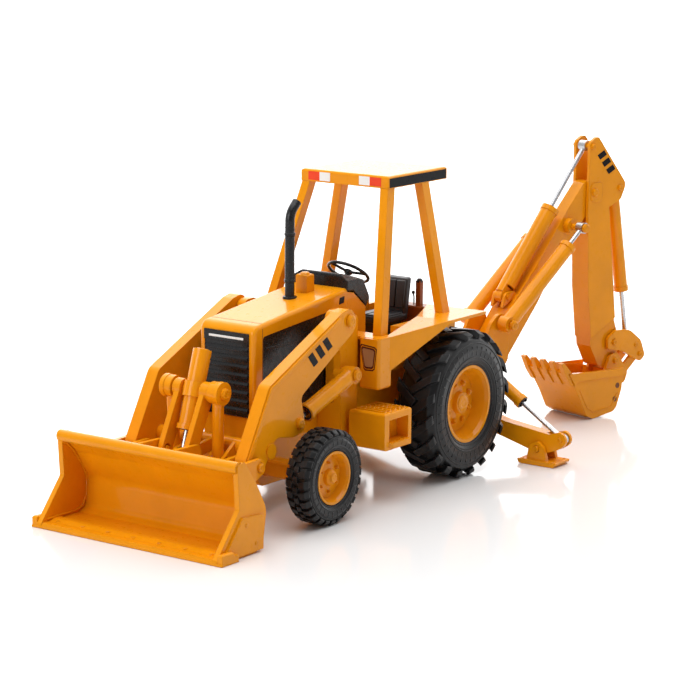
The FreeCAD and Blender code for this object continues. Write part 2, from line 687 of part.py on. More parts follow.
def loader_bucket():
    shell = plate(bucket_outline(), -BUCKET_W + 0.5, BUCKET_W - 0.5)
    inner = plate(bucket_inside() + [(76.0, 0.9), (76.0, 14.1)], -BUCKET_W, BUCKET_W)
    trough = shell.cut(inner)
    side_points = [(67.9, 15.2), (66.2, 15.8, 0.8), (63.3, 12.0, 2.5), (60.3, 6.8, 3.5), (61.3, 0.9, 1.6),
                   (63.4, 0.0, 0.8), (73.4, 0.0, 0.2), (73.2, 0.9), (67.4, 7.9, 0.5)]
    side = plate(side_points, BUCKET_W - 1.0, BUCKET_W)
    wear = plate([(61.6, 0.4), (72.2, 0.4), (67.0, 6.6, 0.5), (61.4, 6.2, 0.6)], BUCKET_W - 0.1,
                 BUCKET_W + 0.35)
    lip = bar(V(67.35, -BUCKET_W + 0.2, 14.85), V(67.35, BUCKET_W - 0.2, 14.85), 1.0)
    edge = plate([(69.0, 0.0), (73.4, 0.0), (73.4, 0.35), (70.2, 1.25), (69.0, 1.25)], -EDGE_W, EDGE_W)
    end_blocks = block(70.2, 73.2, BUCKET_W, EDGE_W, 0.0, 1.9)
    end_blocks = soften(end_blocks, 0.4, lambda c, e: c.z > 1.8)
    parts = [trough, lip, edge] + both(side) + both(wear) + both(end_blocks)
    hinge = [(BUCKET_PIN[0] - 1.5, 11.0, 1.2), (BUCKET_PIN[0] - 0.9, 13.4, 1.2), (64.6, 13.2), (61.8, 7.0),
             (57.0, 9.8, 1.2)]
    for y in (9.5, 13.5):
        parts += both(plate(hinge, y, y + 0.9))
    parts += both(plate([(58.2, 13.0, 0.8), (58.9, 15.0, 0.8), (65.8, 15.2), (63.8, 11.9)], 3.4, 4.3))
    parts += both(pin_y(LINK_PIN, 2.0, 4.0, 0.45))
    solid = fuse(parts)
    holes = both(pin_y(BUCKET_PIN, 9, 15, 0.8 + RUN))
    return solid.cut(group(holes)).cut(inner.common(block(60, 80, -BUCKET_W + 1.0, BUCKET_W - 1.0, 1.25,
                                                          14.1)))


def tilt_levers():
    """Two round levers with large bosses and the trunnion halves of the cross pin."""
    shaft = bar(at(LEVER_PIN, 4.6), at(CROSS_PIN, 5.0), 1.0)
    eye = pin_y(LEVER_PIN, 3.7, 5.6, 1.3)
    boss = pin_y(CROSS_PIN, 3.9, 5.4, 1.9)
    rim = pin_y(CROSS_PIN, 5.3, 6.2, 2.0)
    head = pin_y(CROSS_PIN, 6.1, 6.7, 1.0)
    trunnion = pin_y(CROSS_PIN, 1.3, 4.0, 0.75)
    lever = fuse([shaft, eye, boss, rim, head, trunnion]).cut(pin_y(LEVER_PIN, 3, 7, 0.6 + RUN))
    return group(both(lever))


def tilt_links():
    """Flat links from the cross pin down to the bucket, with an easy hole at the bucket end."""
    body = strap(CROSS_PIN, LINK_PIN, 1.3, 2.15, 3.2)
    collar = pin_y(CROSS_PIN, 2.05, 3.7, 1.6)
    holes = [pin_y(CROSS_PIN, 1, 5, 0.75 + RUN), pin_y(LINK_PIN, 1, 5, 0.8)]
    return group(both(fuse([body, collar]).cut(group(holes))))


def tilt_barrel():
    """Upright tilt cylinder with side sockets at mid length."""
    up = 6.8
    down = 6.9
    top = between(CROSS_PIN, TILT_FOOT, -up)
    mouth = between(CROSS_PIN, TILT_FOOT, down)
    tube = bar(at(top, 0), at(mouth, 0), 1.6)
    flange = bar(at(between(CROSS_PIN, TILT_FOOT, down - 0.9), 0), at(mouth, 0), 1.85)
    collar = bar(at(between(CROSS_PIN, TILT_FOOT, -1.3), 0), at(between(CROSS_PIN, TILT_FOOT, 1.3), 0), 1.95)
    bore = bar(at(between(CROSS_PIN, TILT_FOOT, -up + 1.0), 0), at(between(CROSS_PIN, TILT_FOOT, down + 1),
                                                                   0), 1.1)
    sockets = both(pin_y(CROSS_PIN, 1.2, 3, 0.75 + RUN))
    return fuse([tube, flange, collar]).cut(group([bore] + sockets))


def tilt_rod():
    full = math.hypot(TILT_FOOT[0] - CROSS_PIN[0], TILT_FOOT[1] - CROSS_PIN[1])
    shaft = bar(at(TILT_FOOT, 0), at(between(TILT_FOOT, CROSS_PIN, full + 3.0), 0), 0.5)
    eye = pin_y(TILT_FOOT, -0.75, 0.75, 1.0)
    return fuse([shaft, eye]).cut(pin_y(TILT_FOOT, -2, 2, 0.5 + RUN))


# ---------- backhoe, drawn in its own plane ----------

def to_row(shape):
    """Turn the backhoe plane behind the machine and swing it to its resting angle."""
    shape.rotate(V(0, 0, 0), V(0, 0, 1), 180 - SWING_DEG)
    shape.translate(V(SWING_X, 0, 0))
    return shape


def swing_post():
    sleeve = Part.makeCylinder(2.4, 8.9, V(0, 0, 9.6))
    web = plate([(0, 9.6), (4.6, 9.6), (6.6, 11.0), (6.6, 18.0), (4.6, 18.5), (0, 18.5)], -2.3, 2.3)
    cheek = plate([(3.9, 10.2, 0.8), (10.0, 11.9, 1.5), (13.3, 14.6, 2.2), (13.4, 22.6, 2.1),
                   (11.0, 24.6, 1.9),
                   (8.6, 22.4, 1.5), (6.8, 18.5, 1.5), (3.9, 18.2, 0.8)], 2.75, 3.6)
    spacer = block(3.9, 6.6, -2.8, 2.8, 10.8, 17.8)
    body = fuse([sleeve, web, spacer] + both(cheek))
    swing_bore = Part.makeCylinder(1.2 + RUN, 12, V(0, 0, 8))
    holes = [swing_bore, pin_y(BOOM_FOOT, -5, 5, 0.8), pin_y(BOOM_BASE, -5, 5, 0.7)]
    post_pins = [pin_y(BOOM_FOOT, -3.9, 3.9, 0.8)]
    post_pins += both(fuse([pin_y(BOOM_BASE, 2.75, 7.1, 0.7), pin_y(BOOM_BASE, 6.95, 7.3, 1.0)]))
    return to_row(group([body.cut(group(holes))] + post_pins))


def barrel_channel():
    """Room on top of the boom for the stick cylinder and its small swing."""
    return aligned_block(STICK_BASE, STICK_ROD, -1.5, (1.7, 24.0), (-2.0, 8.0), (-2.0, 2.0))


def boom():
    outline = [(9.2, 12.9, 1.9), (12.9, 13.5, 1.9), (27.6, 31.6, 4.0), (39.9, 44.6, 1.9), (38.0, 47.9, 1.9),
               (35.6, 47.5, 1.9), (15.6, 25.6, 4.0), (8.2, 15.8, 1.9)]
    side = plate(outline, -2.5, 2.5)
    plan = [(6.0, -2.5), (22.0, -2.5), (31.0, -1.45), (42.0, -1.45), (42.0, 1.45), (31.0, 1.45), (22.0, 2.5),
            (6.0, 2.5)]
    box = side.common(plan_plate(plan, 5, 60))
    ears = [(13.3, 24.6), (14.0, 27.5, 1.1), (16.1, 27.6, 1.1), (18.6, 27.6)]
    parts = [box] + both(plate(ears, 1.05, 1.75)) + [pin_y(BOOM_ROD, -2.9, 2.9, 1.5)]
    solid = fuse(parts)
    holes = [pin_y(BOOM_FOOT, -5, 5, 0.8 + RUN), pin_y(BOOM_ROD, -5, 5, 0.6)]
    holes += [pin_y(STICK_PIN, -5, 5, 0.8 + RUN), pin_y(STICK_BASE, -5, 5, 0.6)]
    holes.append(pin_y(STICK_BASE, -1.05, 1.05, 2.5))
    holes.append(barrel_channel())
    return to_row(solid.cut(group(holes)))


def boom_pins():
    cross = pin_y(BOOM_ROD, -6.4, 6.4, 0.6)
    heads = both(pin_y(BOOM_ROD, 6.2, 6.6, 0.9))
    return to_row(group([fuse([cross] + heads), pin_y(STICK_BASE, -1.95, 1.95, 0.6)]))


def boom_barrels():
    barrel = cylinder_barrel(BOOM_BASE, BOOM_ROD, BOOM_CYL_W, 21.4, 1.5, 1.2, 1.6, 0.7 + RUN)
    return to_row(group(both(barrel)))


def boom_rods():
    return to_row(group(both(cylinder_rod(BOOM_BASE, BOOM_ROD, BOOM_CYL_W, 22.2, 0.45, 1.1, 0.6 + RUN, 0.8))))


def stick_barrel():
    barrel = cylinder_barrel(STICK_BASE, STICK_ROD, 0, 20.6, 1.65, 1.3, 1.3, 0.6 + RUN)
    narrow = pin_y(STICK_BASE, -0.95, 0.95, 4)
    wide = aligned_block(STICK_BASE, STICK_ROD, 0, (2.1, 30.0), (-4.0, 4.0), (-4.0, 4.0))
    return to_row(barrel.common(narrow.fuse(wide)))


def stick_rod():
    return to_row(cylinder_rod(STICK_BASE, STICK_ROD, 0, 26.4, 0.45, 1.05, 0.55 + RUN, 0.9))


def stick():
    ear = [(36.2, 50.6), (36.1, 55.4, 1.2), (38.4, 56.6, 0.9), (46.9, 46.4, 1.6), (45.4, 43.4, 1.4),
           (42.6, 42.2), (36.0, 40.4)]
    ears = both(plate(ear, 1.55, 2.25))
    box = plate([(36.0, 43.0), (36.6, 26.0), (38.0, 14.0), (40.4, 9.6, 1.2), (46.0, 8.8, 1.5),
                 (46.1, 15.0, 1.9),
                 (44.8, 18.5), (42.3, 40.6), (41.9, 43.0)], -2.25, 2.25)
    gap = plate([(30.0, 58.0), (30.0, 35.0), (35.4, 36.9), (40.8, 42.0), (44.6, 42.0), (50.0, 40.0),
                 (50.0, 58.0)],
                -1.55, 1.55)
    shank = box.cut(gap)
    foot = plate([(37.4, 15.4), (40.6, 8.0), (47.0, 8.0), (47.0, 20.4)], 1.95, 3.0)
    solid = fuse([shank] + ears).cut(group(both(foot)))
    wear = both(plate([(36.6, 43.6, 1.0), (39.9, 43.2, 1.0), (39.9, 47.4, 1.0), (36.6, 47.2, 1.0)], 2.2,
                      2.45))
    solid = fuse([solid] + wear)
    holes = [pin_y(STICK_PIN, -5, 5, 0.8), pin_y(STICK_ROD, -5, 5, 0.55), pin_y(HOE_BASE, -5, 5, 0.6)]
    holes += [pin_y(HOE_PIN, -5, 5, 0.7 + RUN), pin_y(MOON_PIN, -5, 5, 0.6)]
    return to_row(solid.cut(group(holes)))


def stick_pins():
    pins = [pin_y(STICK_PIN, -2.7, 2.7, 0.8), pin_y(STICK_ROD, -2.6, 2.6, 0.55)]
    pins += [pin_y(HOE_BASE, -2.6, 2.6, 0.6), pin_y(MOON_PIN, -3.1, 3.1, 0.6)]
    return to_row(group(pins))


def hoe_barrel():
    barrel = cylinder_barrel(HOE_BASE, HOE_ROD, 0, 21.9, 1.35, 1.05, 1.3, 0.6 + RUN)
    return to_row(barrel)


def hoe_rod():
    return to_row(cylinder_rod(HOE_BASE, HOE_ROD, 0, 25.0, 0.5, 1.0, 0.55 + RUN, 1.2))


def half_moon_links():
    outline = [(42.3, 13.0, 0.6), (42.2, 15.2, 1.3), (44.6, 16.7, 2.0), (48.6, 16.3, 3.0), (52.0, 13.8, 2.2),
               (53.4, 10.4, 1.0), (51.9, 9.3, 1.0), (46.4, 12.2, 2.0)]
    moon = plate(outline, 2.1, 2.85)
    holes = [pin_y(MOON_PIN, 1, 5, 0.6 + RUN), pin_y(HOE_ROD, 1, 5, 0.55), pin_y(MOON_LINK, 1, 5, 0.55)]
    pins = [pin_y(HOE_ROD, -2.9, 2.9, 0.55), pin_y(MOON_LINK, -3.1, 3.1, 0.55)]
    return to_row(group(both(moon.cut(group(holes))) + pins))


def hoe_links():
    """Short links between the half-moon plates and the bucket, with an easy hole at the bucket."""
    link = strap(MOON_LINK, HOE_LINK, 0.95, 1.35, 1.95)
    holes = [pin_y(MOON_LINK, 0, 3, 0.55 + RUN), pin_y(HOE_LINK, 0, 3, 0.75)]
    return to_row(group(both(link.cut(group(holes)))))


def hoe_outline():
    return [(27.9, 10.2), (31.4, 4.8, 4.0), (33.4, 1.0, 2.0), (35.2, 0.0, 1.5), (41.9, 0.9, 2.0),
            (43.5, 5.0, 3.0), (44.0, 8.4)]


def hoe_bucket():
    shell = plate(hoe_outline() + [(36.0, 9.6)], -HOE_W, HOE_W)
    inner = [(29.3, 10.6), (32.3, 5.3, 3.2), (34.2, 1.8, 1.6), (35.6, 0.9, 1.0), (41.2, 1.7, 1.6),
             (42.6, 5.2, 2.4),
             (43.1, 8.4), (42.0, 12.0)]
    trough = shell.cut(plate(inner, -HOE_W + 0.7, HOE_W - 0.7))
    rim = plate([(28.2, 10.1), (44.0, 9.4), (43.8, 7.9), (30.8, 8.3, 0.5), (29.9, 7.4)], HOE_W - 0.2,
                HOE_W + 0.25)
    ear = plate([(43.0, 11.5, 1.2), (44.9, 12.2, 1.3), (46.4, 10.4), (48.4, 7.6, 1.2), (47.6, 5.6, 1.2),
                 (43.4, 4.4), (41.8, 8.6)], 2.05, 2.75)
    pins = [pin_y(HOE_LINK, -2.9, 2.9, 0.45), pin_y(HOE_PIN, -3.0, 3.0, 0.7)]
    return to_row(fuse([trough] + both(rim) + both(ear) + pins))


def hoe_teeth():
    teeth = []
    for i in range(5):
        w = -5.2 + i * 2.6
        tooth = plate([(26.0, 12.4), (26.7, 12.6), (29.6, 9.6), (30.1, 7.6), (29.0, 7.5), (27.4, 9.6)],
                      w - 0.55, w + 0.55)
        teeth.append(tooth.cut(plate(hoe_outline() + [(36.0, 9.6)], -9, 9)))
    strip = plate([(27.3, 10.3), (28.0, 10.7), (29.7, 8.0), (29.2, 7.6)], -HOE_W, HOE_W)
    strip = strip.cut(plate(hoe_outline() + [(36.0, 9.6)], -9, 9))
    return to_row(fuse([strip] + teeth))


# ---------- stabilizers ----------

def stab_leg(sign):
    outline = [(7.1, 6.5, 1.3), (7.1, 9.6, 1.4), (17.2, 7.1, 2.0), (26.8, 5.9, 1.0), (29.6, 6.8, 1.4),
               (30.9, 4.6, 1.4), (28.8, 3.2, 1.4), (26.2, 2.2, 1.0), (24.4, 1.5, 1.2), (22.4, 2.6, 1.0),
               (17.3, 4.0, 2.0)]
    leg = plate_x(outline, STAB_X - 1.2, STAB_X + 1.2)
    slot = plate_x([(25.6, 8.0), (26.4, 4.2), (31.5, 2.0), (31.5, 8.0)], STAB_X - 0.6, STAB_X + 0.6)
    holes = [slot, pin_x(STAB_LEG, -30, 0, 0.7 + RUN), pin_x(STAB_ROD, -30, 0, 0.5),
             pin_x(PAD_PIN, -30, 0, 0.6)]
    pins = [pin_x(STAB_ROD, STAB_X - 1.2, STAB_X + 1.35, 0.5), pin_x(PAD_PIN, STAB_X - 2.3, STAB_X + 2.3,
                                                                     0.6)]
    parts = [leg.cut(group(holes))] + pins
    return group(parts) if sign > 0 else flip(group(parts))


def stab_pad(sign):
    base = plate_x([(21.3, 0.0, 0.2), (28.6, 0.0, 0.2), (29.4, 0.9, 0.2), (20.8, 0.9, 0.2)], STAB_X - 2.6,
                   STAB_X + 2.6)
    ear = plate_x([(22.6, 0.6), (23.1, 3.6, 1.2), (24.9, 4.6, 1.3), (26.3, 3.4, 1.2), (27.0, 0.6)], 0, 0.8)
    ears = []
    for x in (STAB_X - 2.1, STAB_X + 1.3):
        one = ear.copy()
        one.translate(V(x, 0, 0))
        ears.append(one)
    pad = fuse([base] + ears).cut(pin_x(PAD_PIN, -30, 0, 0.6 + RUN))
    return pad if sign > 0 else flip(pad)


def across(shape):
    """Turn a shape drawn in the XZ plane into the YZ plane of the stabilizers."""
    shape.rotate(V(0, 0, 0), V(0, 0, 1), 90)
    shape.translate(V(STAB_X, 0, 0))
    return shape


def stab_barrel(sign):
    barrel = across(cylinder_barrel(STAB_BASE, STAB_ROD, 0, 14.0, 1.2, 0.98, 1.25, 0.7 + RUN))
    return barrel if sign > 0 else flip(barrel)


def stab_rod(sign):
    rod = across(cylinder_rod(STAB_BASE, STAB_ROD, 0, 13.2, 0.5, 1.0, 0.5 + RUN, 0.5))
    return rod if sign > 0 else flip(rod)


SIDES = (("left", 1), ("right", -1))


def build():
    """Every node by name, in its final place."""
    makers = [chassis_frame, front_axle, rear_axle, hood, grille, hood_panels, exhaust_stack, pre_cleaner,
              loader_towers, frame_pins, rear_frame, cab_platform, dash_cowl, steering_wheel, seat,
              control_console, step_boxes, canopy_posts, canopy_roof, loader_arms, arm_pins, lift_barrels,
              lift_rods, loader_bucket, tilt_levers, tilt_links, tilt_barrel, tilt_rod, swing_post, boom,
              boom_pins, boom_barrels, boom_rods, stick, stick_pins, stick_barrel, stick_rod, hoe_bucket,
              hoe_teeth, hoe_barrel, hoe_rod, half_moon_links, hoe_links]
    sided = [front_tyre, front_rim, rear_tyre, rear_rim, stab_leg, stab_pad, stab_barrel, stab_rod]
    nodes = {}
    for maker in makers:
        nodes[maker.__name__] = maker()
    for maker in sided:
        for side, sign in SIDES:
            nodes[maker.__name__ + "_" + side] = maker(sign)
    for shape in nodes.values():
        shape.translate(V(CENTRE_X, 0, 0))
    return nodes


def main():
    nodes = build()
    for name, shape in nodes.items():
        shape.exportStep("parts/" + name + ".step")


if __name__ == "__main__":
    main()
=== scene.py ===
import math

import bmesh
import bpy
from mathutils import Matrix, Vector


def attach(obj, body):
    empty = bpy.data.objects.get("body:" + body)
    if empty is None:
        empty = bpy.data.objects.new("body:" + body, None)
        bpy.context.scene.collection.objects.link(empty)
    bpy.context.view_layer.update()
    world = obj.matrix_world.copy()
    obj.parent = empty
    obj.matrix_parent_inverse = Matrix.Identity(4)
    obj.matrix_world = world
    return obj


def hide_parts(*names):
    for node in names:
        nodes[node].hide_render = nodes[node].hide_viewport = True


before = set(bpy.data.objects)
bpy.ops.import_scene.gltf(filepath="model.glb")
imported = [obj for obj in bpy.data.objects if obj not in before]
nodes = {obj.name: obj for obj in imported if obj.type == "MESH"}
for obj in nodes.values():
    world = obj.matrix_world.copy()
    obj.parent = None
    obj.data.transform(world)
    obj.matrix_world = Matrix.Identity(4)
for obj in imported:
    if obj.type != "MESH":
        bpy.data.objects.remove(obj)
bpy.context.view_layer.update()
scene = bpy.context.scene

# Pieces are drawn in millimetres with x = 0 at the rear axle, then brought into the frame,
# whose origin is CENTRE_X behind the rear axle.
MM = 0.001
CENTRE_X = 0.22
TO_FRAME = Matrix.Scale(MM, 4) @ Matrix.Translation((CENTRE_X, 0, 0))

# places on the machine, in the XZ plane
REAR_WHEEL = (0.0, 13.5)
FRONT_WHEEL = (42.0, 8.2)
ARM_PIVOT = (28.6, 32.3)
LIFT_BASE = (26.6, 22.4)
LIFT_ROD = (43.0, 16.9)
BUCKET_PIN = (55.6, 11.9)
CROSS_PIN = (54.9, 23.1)
TILT_FOOT = (58.3, 12.6)

# places on the backhoe, in its own plane: distance behind the swing axis, height
SWING_X = -21.5
SWING_DEG = 13.7
HOE = Matrix.Translation((SWING_X, 0, 0)) @ Matrix.Rotation(math.radians(180 - SWING_DEG), 4, "Z")
BOOM_FOOT = (10.6, 15.2)
BOOM_BASE = (11.2, 22.2)
BOOM_ROD = (31.2, 39.2)
STICK_PIN = (37.6, 45.4)
STICK_BASE = (14.8, 26.7)
STICK_ROD = (36.9, 54.6)
HOE_BASE = (45.0, 45.7)
HOE_ROD = (50.6, 12.9)
MOON_PIN = (44.0, 14.3)
MOON_LINK = (51.7, 10.9)
HOE_PIN = (44.6, 10.4)
HOE_LINK = (47.0, 7.0)

# stabilizers, in the YZ plane of the left side
STAB_X = -17.0
STAB_BASE = (8.5, 18.5)
STAB_ROD = (29.2, 5.1)
PAD_PIN = (24.7, 3.0)

SIDES = (("left", 1), ("right", -1))


# ---------- materials ----------

def grey(value):
    return (value, value, value, 1.0)


def new_material(name):
    mat = bpy.data.materials.new(name)
    mat.use_nodes = True
    tree = mat.node_tree
    return mat, tree, tree.nodes["Principled BSDF"]


def noise(tree, scale, detail=5.0, rough=0.6, stretch=(1, 1, 1)):
    coords = tree.nodes.new("ShaderNodeTexCoord")
    mapping = tree.nodes.new("ShaderNodeMapping")
    mapping.inputs["Scale"].default_value = stretch
    tex = tree.nodes.new("ShaderNodeTexNoise")
    tex.inputs["Scale"].default_value = scale
    tex.inputs["Detail"].default_value = detail
    tex.inputs["Roughness"].default_value = rough
    tree.links.new(coords.outputs["Object"], mapping.inputs["Vector"])
    tree.links.new(mapping.outputs["Vector"], tex.inputs["Vector"])
    return tex.outputs["Fac"]


def ramp(tree, source, stops):
    node = tree.nodes.new("ShaderNodeValToRGB")
    elements = node.color_ramp.elements
    elements[0].position, elements[0].color = stops[0]
    elements[1].position, elements[1].color = stops[-1]
    for position, colour in stops[1:-1]:
        elements.new(position).color = colour
    tree.links.new(source, node.inputs["Fac"])
    return node.outputs["Color"]


def surface(tree, shader, height, strength, distance, edge=0.0):
    """Fine bump over a softly rounded edge."""
    node = tree.nodes.new("ShaderNodeBump")
    node.inputs["Strength"].default_value = strength
    node.inputs["Distance"].default_value = distance
    tree.links.new(height, node.inputs["Height"])
    if edge > 0:
        round_edge = tree.nodes.new("ShaderNodeBevel")
        round_edge.samples = 4
        round_edge.inputs["Radius"].default_value = edge * MM
        tree.links.new(round_edge.outputs["Normal"], node.inputs["Normal"])
    tree.links.new(node.outputs["Normal"], shader.inputs["Normal"])


def shades(colour, spread):
    """Darker and lighter neighbours of a colour."""
    low = tuple(c * (1 - spread) for c in colour) + (1,)
    high = tuple(min(1.0, c * (1 + spread)) for c in colour) + (1,)
    return low, colour + (1,), high


def painted(name, colour, rough=0.30, coat=0.38, edge=0.22):
    """Glossy enamel on a die casting: slight orange peel, soft colour drift, uneven gloss."""
    mat, tree, shader = new_material(name)
    low, base, high = shades(colour, 0.07)
    drift = ramp(tree, noise(tree, 110.0, detail=4.0), [(0.30, low), (0.5, base), (0.72, high)])
    tree.links.new(drift, shader.inputs["Base Color"])
    fine = noise(tree, 900.0, detail=3.0)
    gloss = ramp(tree, fine, [(0.3, grey(rough - 0.05)), (0.7, grey(rough + 0.07))])
    tree.links.new(gloss, shader.inputs["Roughness"])
    peel = noise(tree, 1400.0, detail=2.0, rough=0.4)
    surface(tree, shader, peel, strength=0.12, distance=0.00006, edge=edge)
    shader.inputs["Specular IOR Level"].default_value = 0.05
    shader.inputs["Coat Weight"].default_value = coat
    shader.inputs["Coat Roughness"].default_value = 0.06
    return mat


def plastic(name, colour, rough, grain=1300.0, strength=0.25, edge=0.18, shine=0.5):
    """Moulded plastic with a fine grain."""
    mat, tree, shader = new_material(name)
    low, base, high = shades(colour, 0.25)
    drift = ramp(tree, noise(tree, 170.0), [(0.3, low), (0.5, base), (0.7, high)])
    tree.links.new(drift, shader.inputs["Base Color"])
    fine = noise(tree, grain, detail=3.0)
    gloss = ramp(tree, fine, [(0.3, grey(rough - 0.06)), (0.7, grey(rough + 0.08))])
    tree.links.new(gloss, shader.inputs["Roughness"])
    surface(tree, shader, fine, strength, distance=0.00008, edge=edge)
    shader.inputs["Specular IOR Level"].default_value = shine
    return mat


def steel(name, colour, rough, stretch):
    """Bright metal with very fine polishing marks."""
    mat, tree, shader = new_material(name)
    low, base, high = shades(colour, 0.10)
    marks = noise(tree, 900.0, detail=4.0, rough=0.5, stretch=stretch)
    tint = ramp(tree, marks, [(0.3, low), (0.5, base), (0.7, high)])
    tree.links.new(tint, shader.inputs["Base Color"])
    gloss = ramp(tree, marks, [(0.3, grey(rough - 0.05)), (0.7, grey(rough + 0.06))])
    tree.links.new(gloss, shader.inputs["Roughness"])
    surface(tree, shader, marks, strength=0.08, distance=0.00004)
    shader.inputs["Metallic"].default_value = 1.0
    return mat


def rod_with_painted_eye(name, eye, reach):
    """Bright rod whose eye end carries the machine's paint: spots within reach of the eye's axis."""
    mat, tree, shader = new_material(name)
    coords = tree.nodes.new("ShaderNodeTexCoord")
    split = tree.nodes.new("ShaderNodeSeparateXYZ")
    join = tree.nodes.new("ShaderNodeCombineXYZ")
    away = tree.nodes.new("ShaderNodeVectorMath")
    away.operation = "DISTANCE"
    away.inputs[1].default_value = ((eye[0] + CENTRE_X) * MM, 0.0, eye[1] * MM)
    tree.links.new(coords.outputs["Object"], split.inputs[0])
    tree.links.new(split.outputs["X"], join.inputs["X"])
    tree.links.new(split.outputs["Z"], join.inputs["Z"])
    tree.links.new(join.outputs[0], away.inputs[0])
    inside = tree.nodes.new("ShaderNodeMath")
    inside.operation = "LESS_THAN"
    inside.inputs[1].default_value = reach * MM
    tree.links.new(away.outputs["Value"], inside.inputs[0])
    drift = noise(tree, 500.0, detail=4.0)
    dark, _, light = shades(PAINT, 0.07)
    paint = ramp(tree, drift, [(0.3, dark), (0.7, light)])
    bright = ramp(tree, drift, [(0.3, grey(0.50)), (0.7, grey(0.62))])
    mix = tree.nodes.new("ShaderNodeMix")
    mix.data_type = "RGBA"
    tree.links.new(inside.outputs[0], mix.inputs["Factor"])
    tree.links.new(bright, mix.inputs["A"])
    tree.links.new(paint, mix.inputs["B"])
    tree.links.new(mix.outputs["Result"], shader.inputs["Base Color"])
    metal = tree.nodes.new("ShaderNodeMath")
    metal.operation = "SUBTRACT"
    metal.inputs[0].default_value = 1.0
    tree.links.new(inside.outputs[0], metal.inputs[1])
    tree.links.new(metal.outputs[0], shader.inputs["Metallic"])
    gloss = ramp(tree, drift, [(0.3, grey(0.16)), (0.7, grey(0.28))])
    tree.links.new(gloss, shader.inputs["Roughness"])
    surface(tree, shader, drift, strength=0.08, distance=0.00004, edge=0.15)
    return mat


PAINT = (0.79, 0.284, 0.003)
ORANGE = painted("enamel_orange", PAINT)
# Darker copy of the orange paint: painted shade for the axles and belly screws under the machine.
AXLE_PAINT_IN_SHADE = painted("enamel_axle_painted_shade", (0.66, 0.22, 0.004), rough=0.34, coat=0.4)
# Slightly darker copy of the orange paint: painted shade for the deep rim dishes and their hub fittings.
RIM_PAINT_IN_SHADE = painted("enamel_rim_painted_shade", (0.76, 0.27, 0.004), rough=0.32, coat=0.4, edge=0.15)
# Dark red-brown copy of the orange paint: painted shade for the control console and the cab floor, which lie
# in the cab's shadow.
PAINT_IN_SHADE_BROWN = painted("enamel_painted_shade", (0.26, 0.062, 0.008), rough=0.42, coat=0.3)
BAND = painted("printed_black", (0.008, 0.008, 0.009), rough=0.30, coat=0.12, edge=0.0)
SIGNAL = painted("printed_signal_red", (0.80, 0.055, 0.012), rough=0.35, coat=0.5, edge=0.0)
WHITE = painted("printed_white", (0.82, 0.82, 0.80), rough=0.35, coat=0.5, edge=0.0)
# Dark red outline of the pillar panels: painted shade along their recessed edges.
PANEL_EDGE_SHADE = painted("painted_shade_dark_red", (0.085, 0.014, 0.008), rough=0.35, coat=0.5, edge=0.0)
DECAL_FIELD = painted("printed_tan", (0.36, 0.175, 0.075), rough=0.40, coat=0.5, edge=0.0)
BLACK = plastic("black_plastic", (0.009, 0.009, 0.010), rough=0.26, shine=0.35)
SEAT = plastic("seat_vinyl", (0.017, 0.017, 0.020), rough=0.42, grain=1000.0, strength=0.5, edge=0.0)
# Dark red-brown: painted shade in the hood seams and in the corner holes of the hoe bucket.
SEAM_AND_HOLE_SHADE = plastic("seam_shadow", (0.16, 0.045, 0.004), rough=0.6, edge=0.0)
TYRE = plastic("tyre_rubber", (0.010, 0.010, 0.0105), rough=0.34, grain=1700.0, strength=0.30, edge=0.25,
               shine=0.30)
CHROME = steel("bright_rod", (0.56, 0.56, 0.575), rough=0.28, stretch=(1.0, 1.0, 6.0))
LIFT_CHROME = rod_with_painted_eye("bright_rod_painted_eye", LIFT_ROD, reach=1.6)

NODE_MATERIALS = {
    "grille": BLACK, "hood_panels": BLACK, "exhaust_stack": BLACK,
    "dash_cowl": BLACK, "steering_wheel": BLACK,
    "lift_rods": LIFT_CHROME, "tilt_rod": CHROME, "boom_rods": CHROME, "stick_rod": CHROME, "hoe_rod": CHROME,
    # The control console takes the dark red-brown painted shade.
    "stab_rod_left": CHROME, "stab_rod_right": CHROME, "control_console": PAINT_IN_SHADE_BROWN,
    # The axles take the darker, painted-shade copy of the paint.
    "front_axle": AXLE_PAINT_IN_SHADE, "rear_axle": AXLE_PAINT_IN_SHADE,
}
for end in ("front", "rear"):
    for side, _ in SIDES:
        NODE_MATERIALS[f"{end}_tyre_{side}"] = TYRE
        # The rims take the slightly darker, painted-shade copy of the paint.
        NODE_MATERIALS[f"{end}_rim_{side}"] = RIM_PAINT_IN_SHADE

for node_name, node in nodes.items():
    node.data.materials.clear()
    node.data.materials.append(NODE_MATERIALS.get(node_name, ORANGE))


# ---------- mesh helpers, in millimetres ----------

def facing_y(x, y, z, sign=1):
    """Place at a point whose Z axis points out to the left, or to the right for sign -1."""
    return Matrix.Translation((x, y, z)) @ Matrix.Rotation(math.radians(-90 * sign), 4, "X")


def facing_x(x, y, z):
    """Place at a point whose Z axis points forward."""
    return Matrix.Translation((x, y, z)) @ Matrix.Rotation(math.radians(90), 4, "Y")


def mirrored(inner, outer):
    """The same stretch of Y on the left and on the right, low end first."""
    return (inner, outer), (-outer, -inner)


def pointing(spot, direction):
    """Place at a spot whose Z axis points along a direction."""
    return Matrix.Translation(spot) @ Vector(direction).to_track_quat("Z", "Y").to_matrix().to_4x4()


def add_prism(bm, outline, low, high, axis="y"):
    """Closed prism through an outline, thick along one axis."""
    order = {"x": (2, 0, 1), "y": (0, 2, 1), "z": (0, 1, 2)}[axis]
    rings = []
    for depth in (low, high):
        ring = []
        for a, b in outline:
            values = (a, b, depth)
            ring.append(bm.verts.new([values[k] for k in order]))
        rings.append(ring)
    count = len(outline)
    for i in range(count):
        j = (i + 1) % count
        bm.faces.new((rings[0][i], rings[0][j], rings[1][j], rings[1][i]))
    bm.faces.new(rings[0])
    bm.faces.new(rings[1])


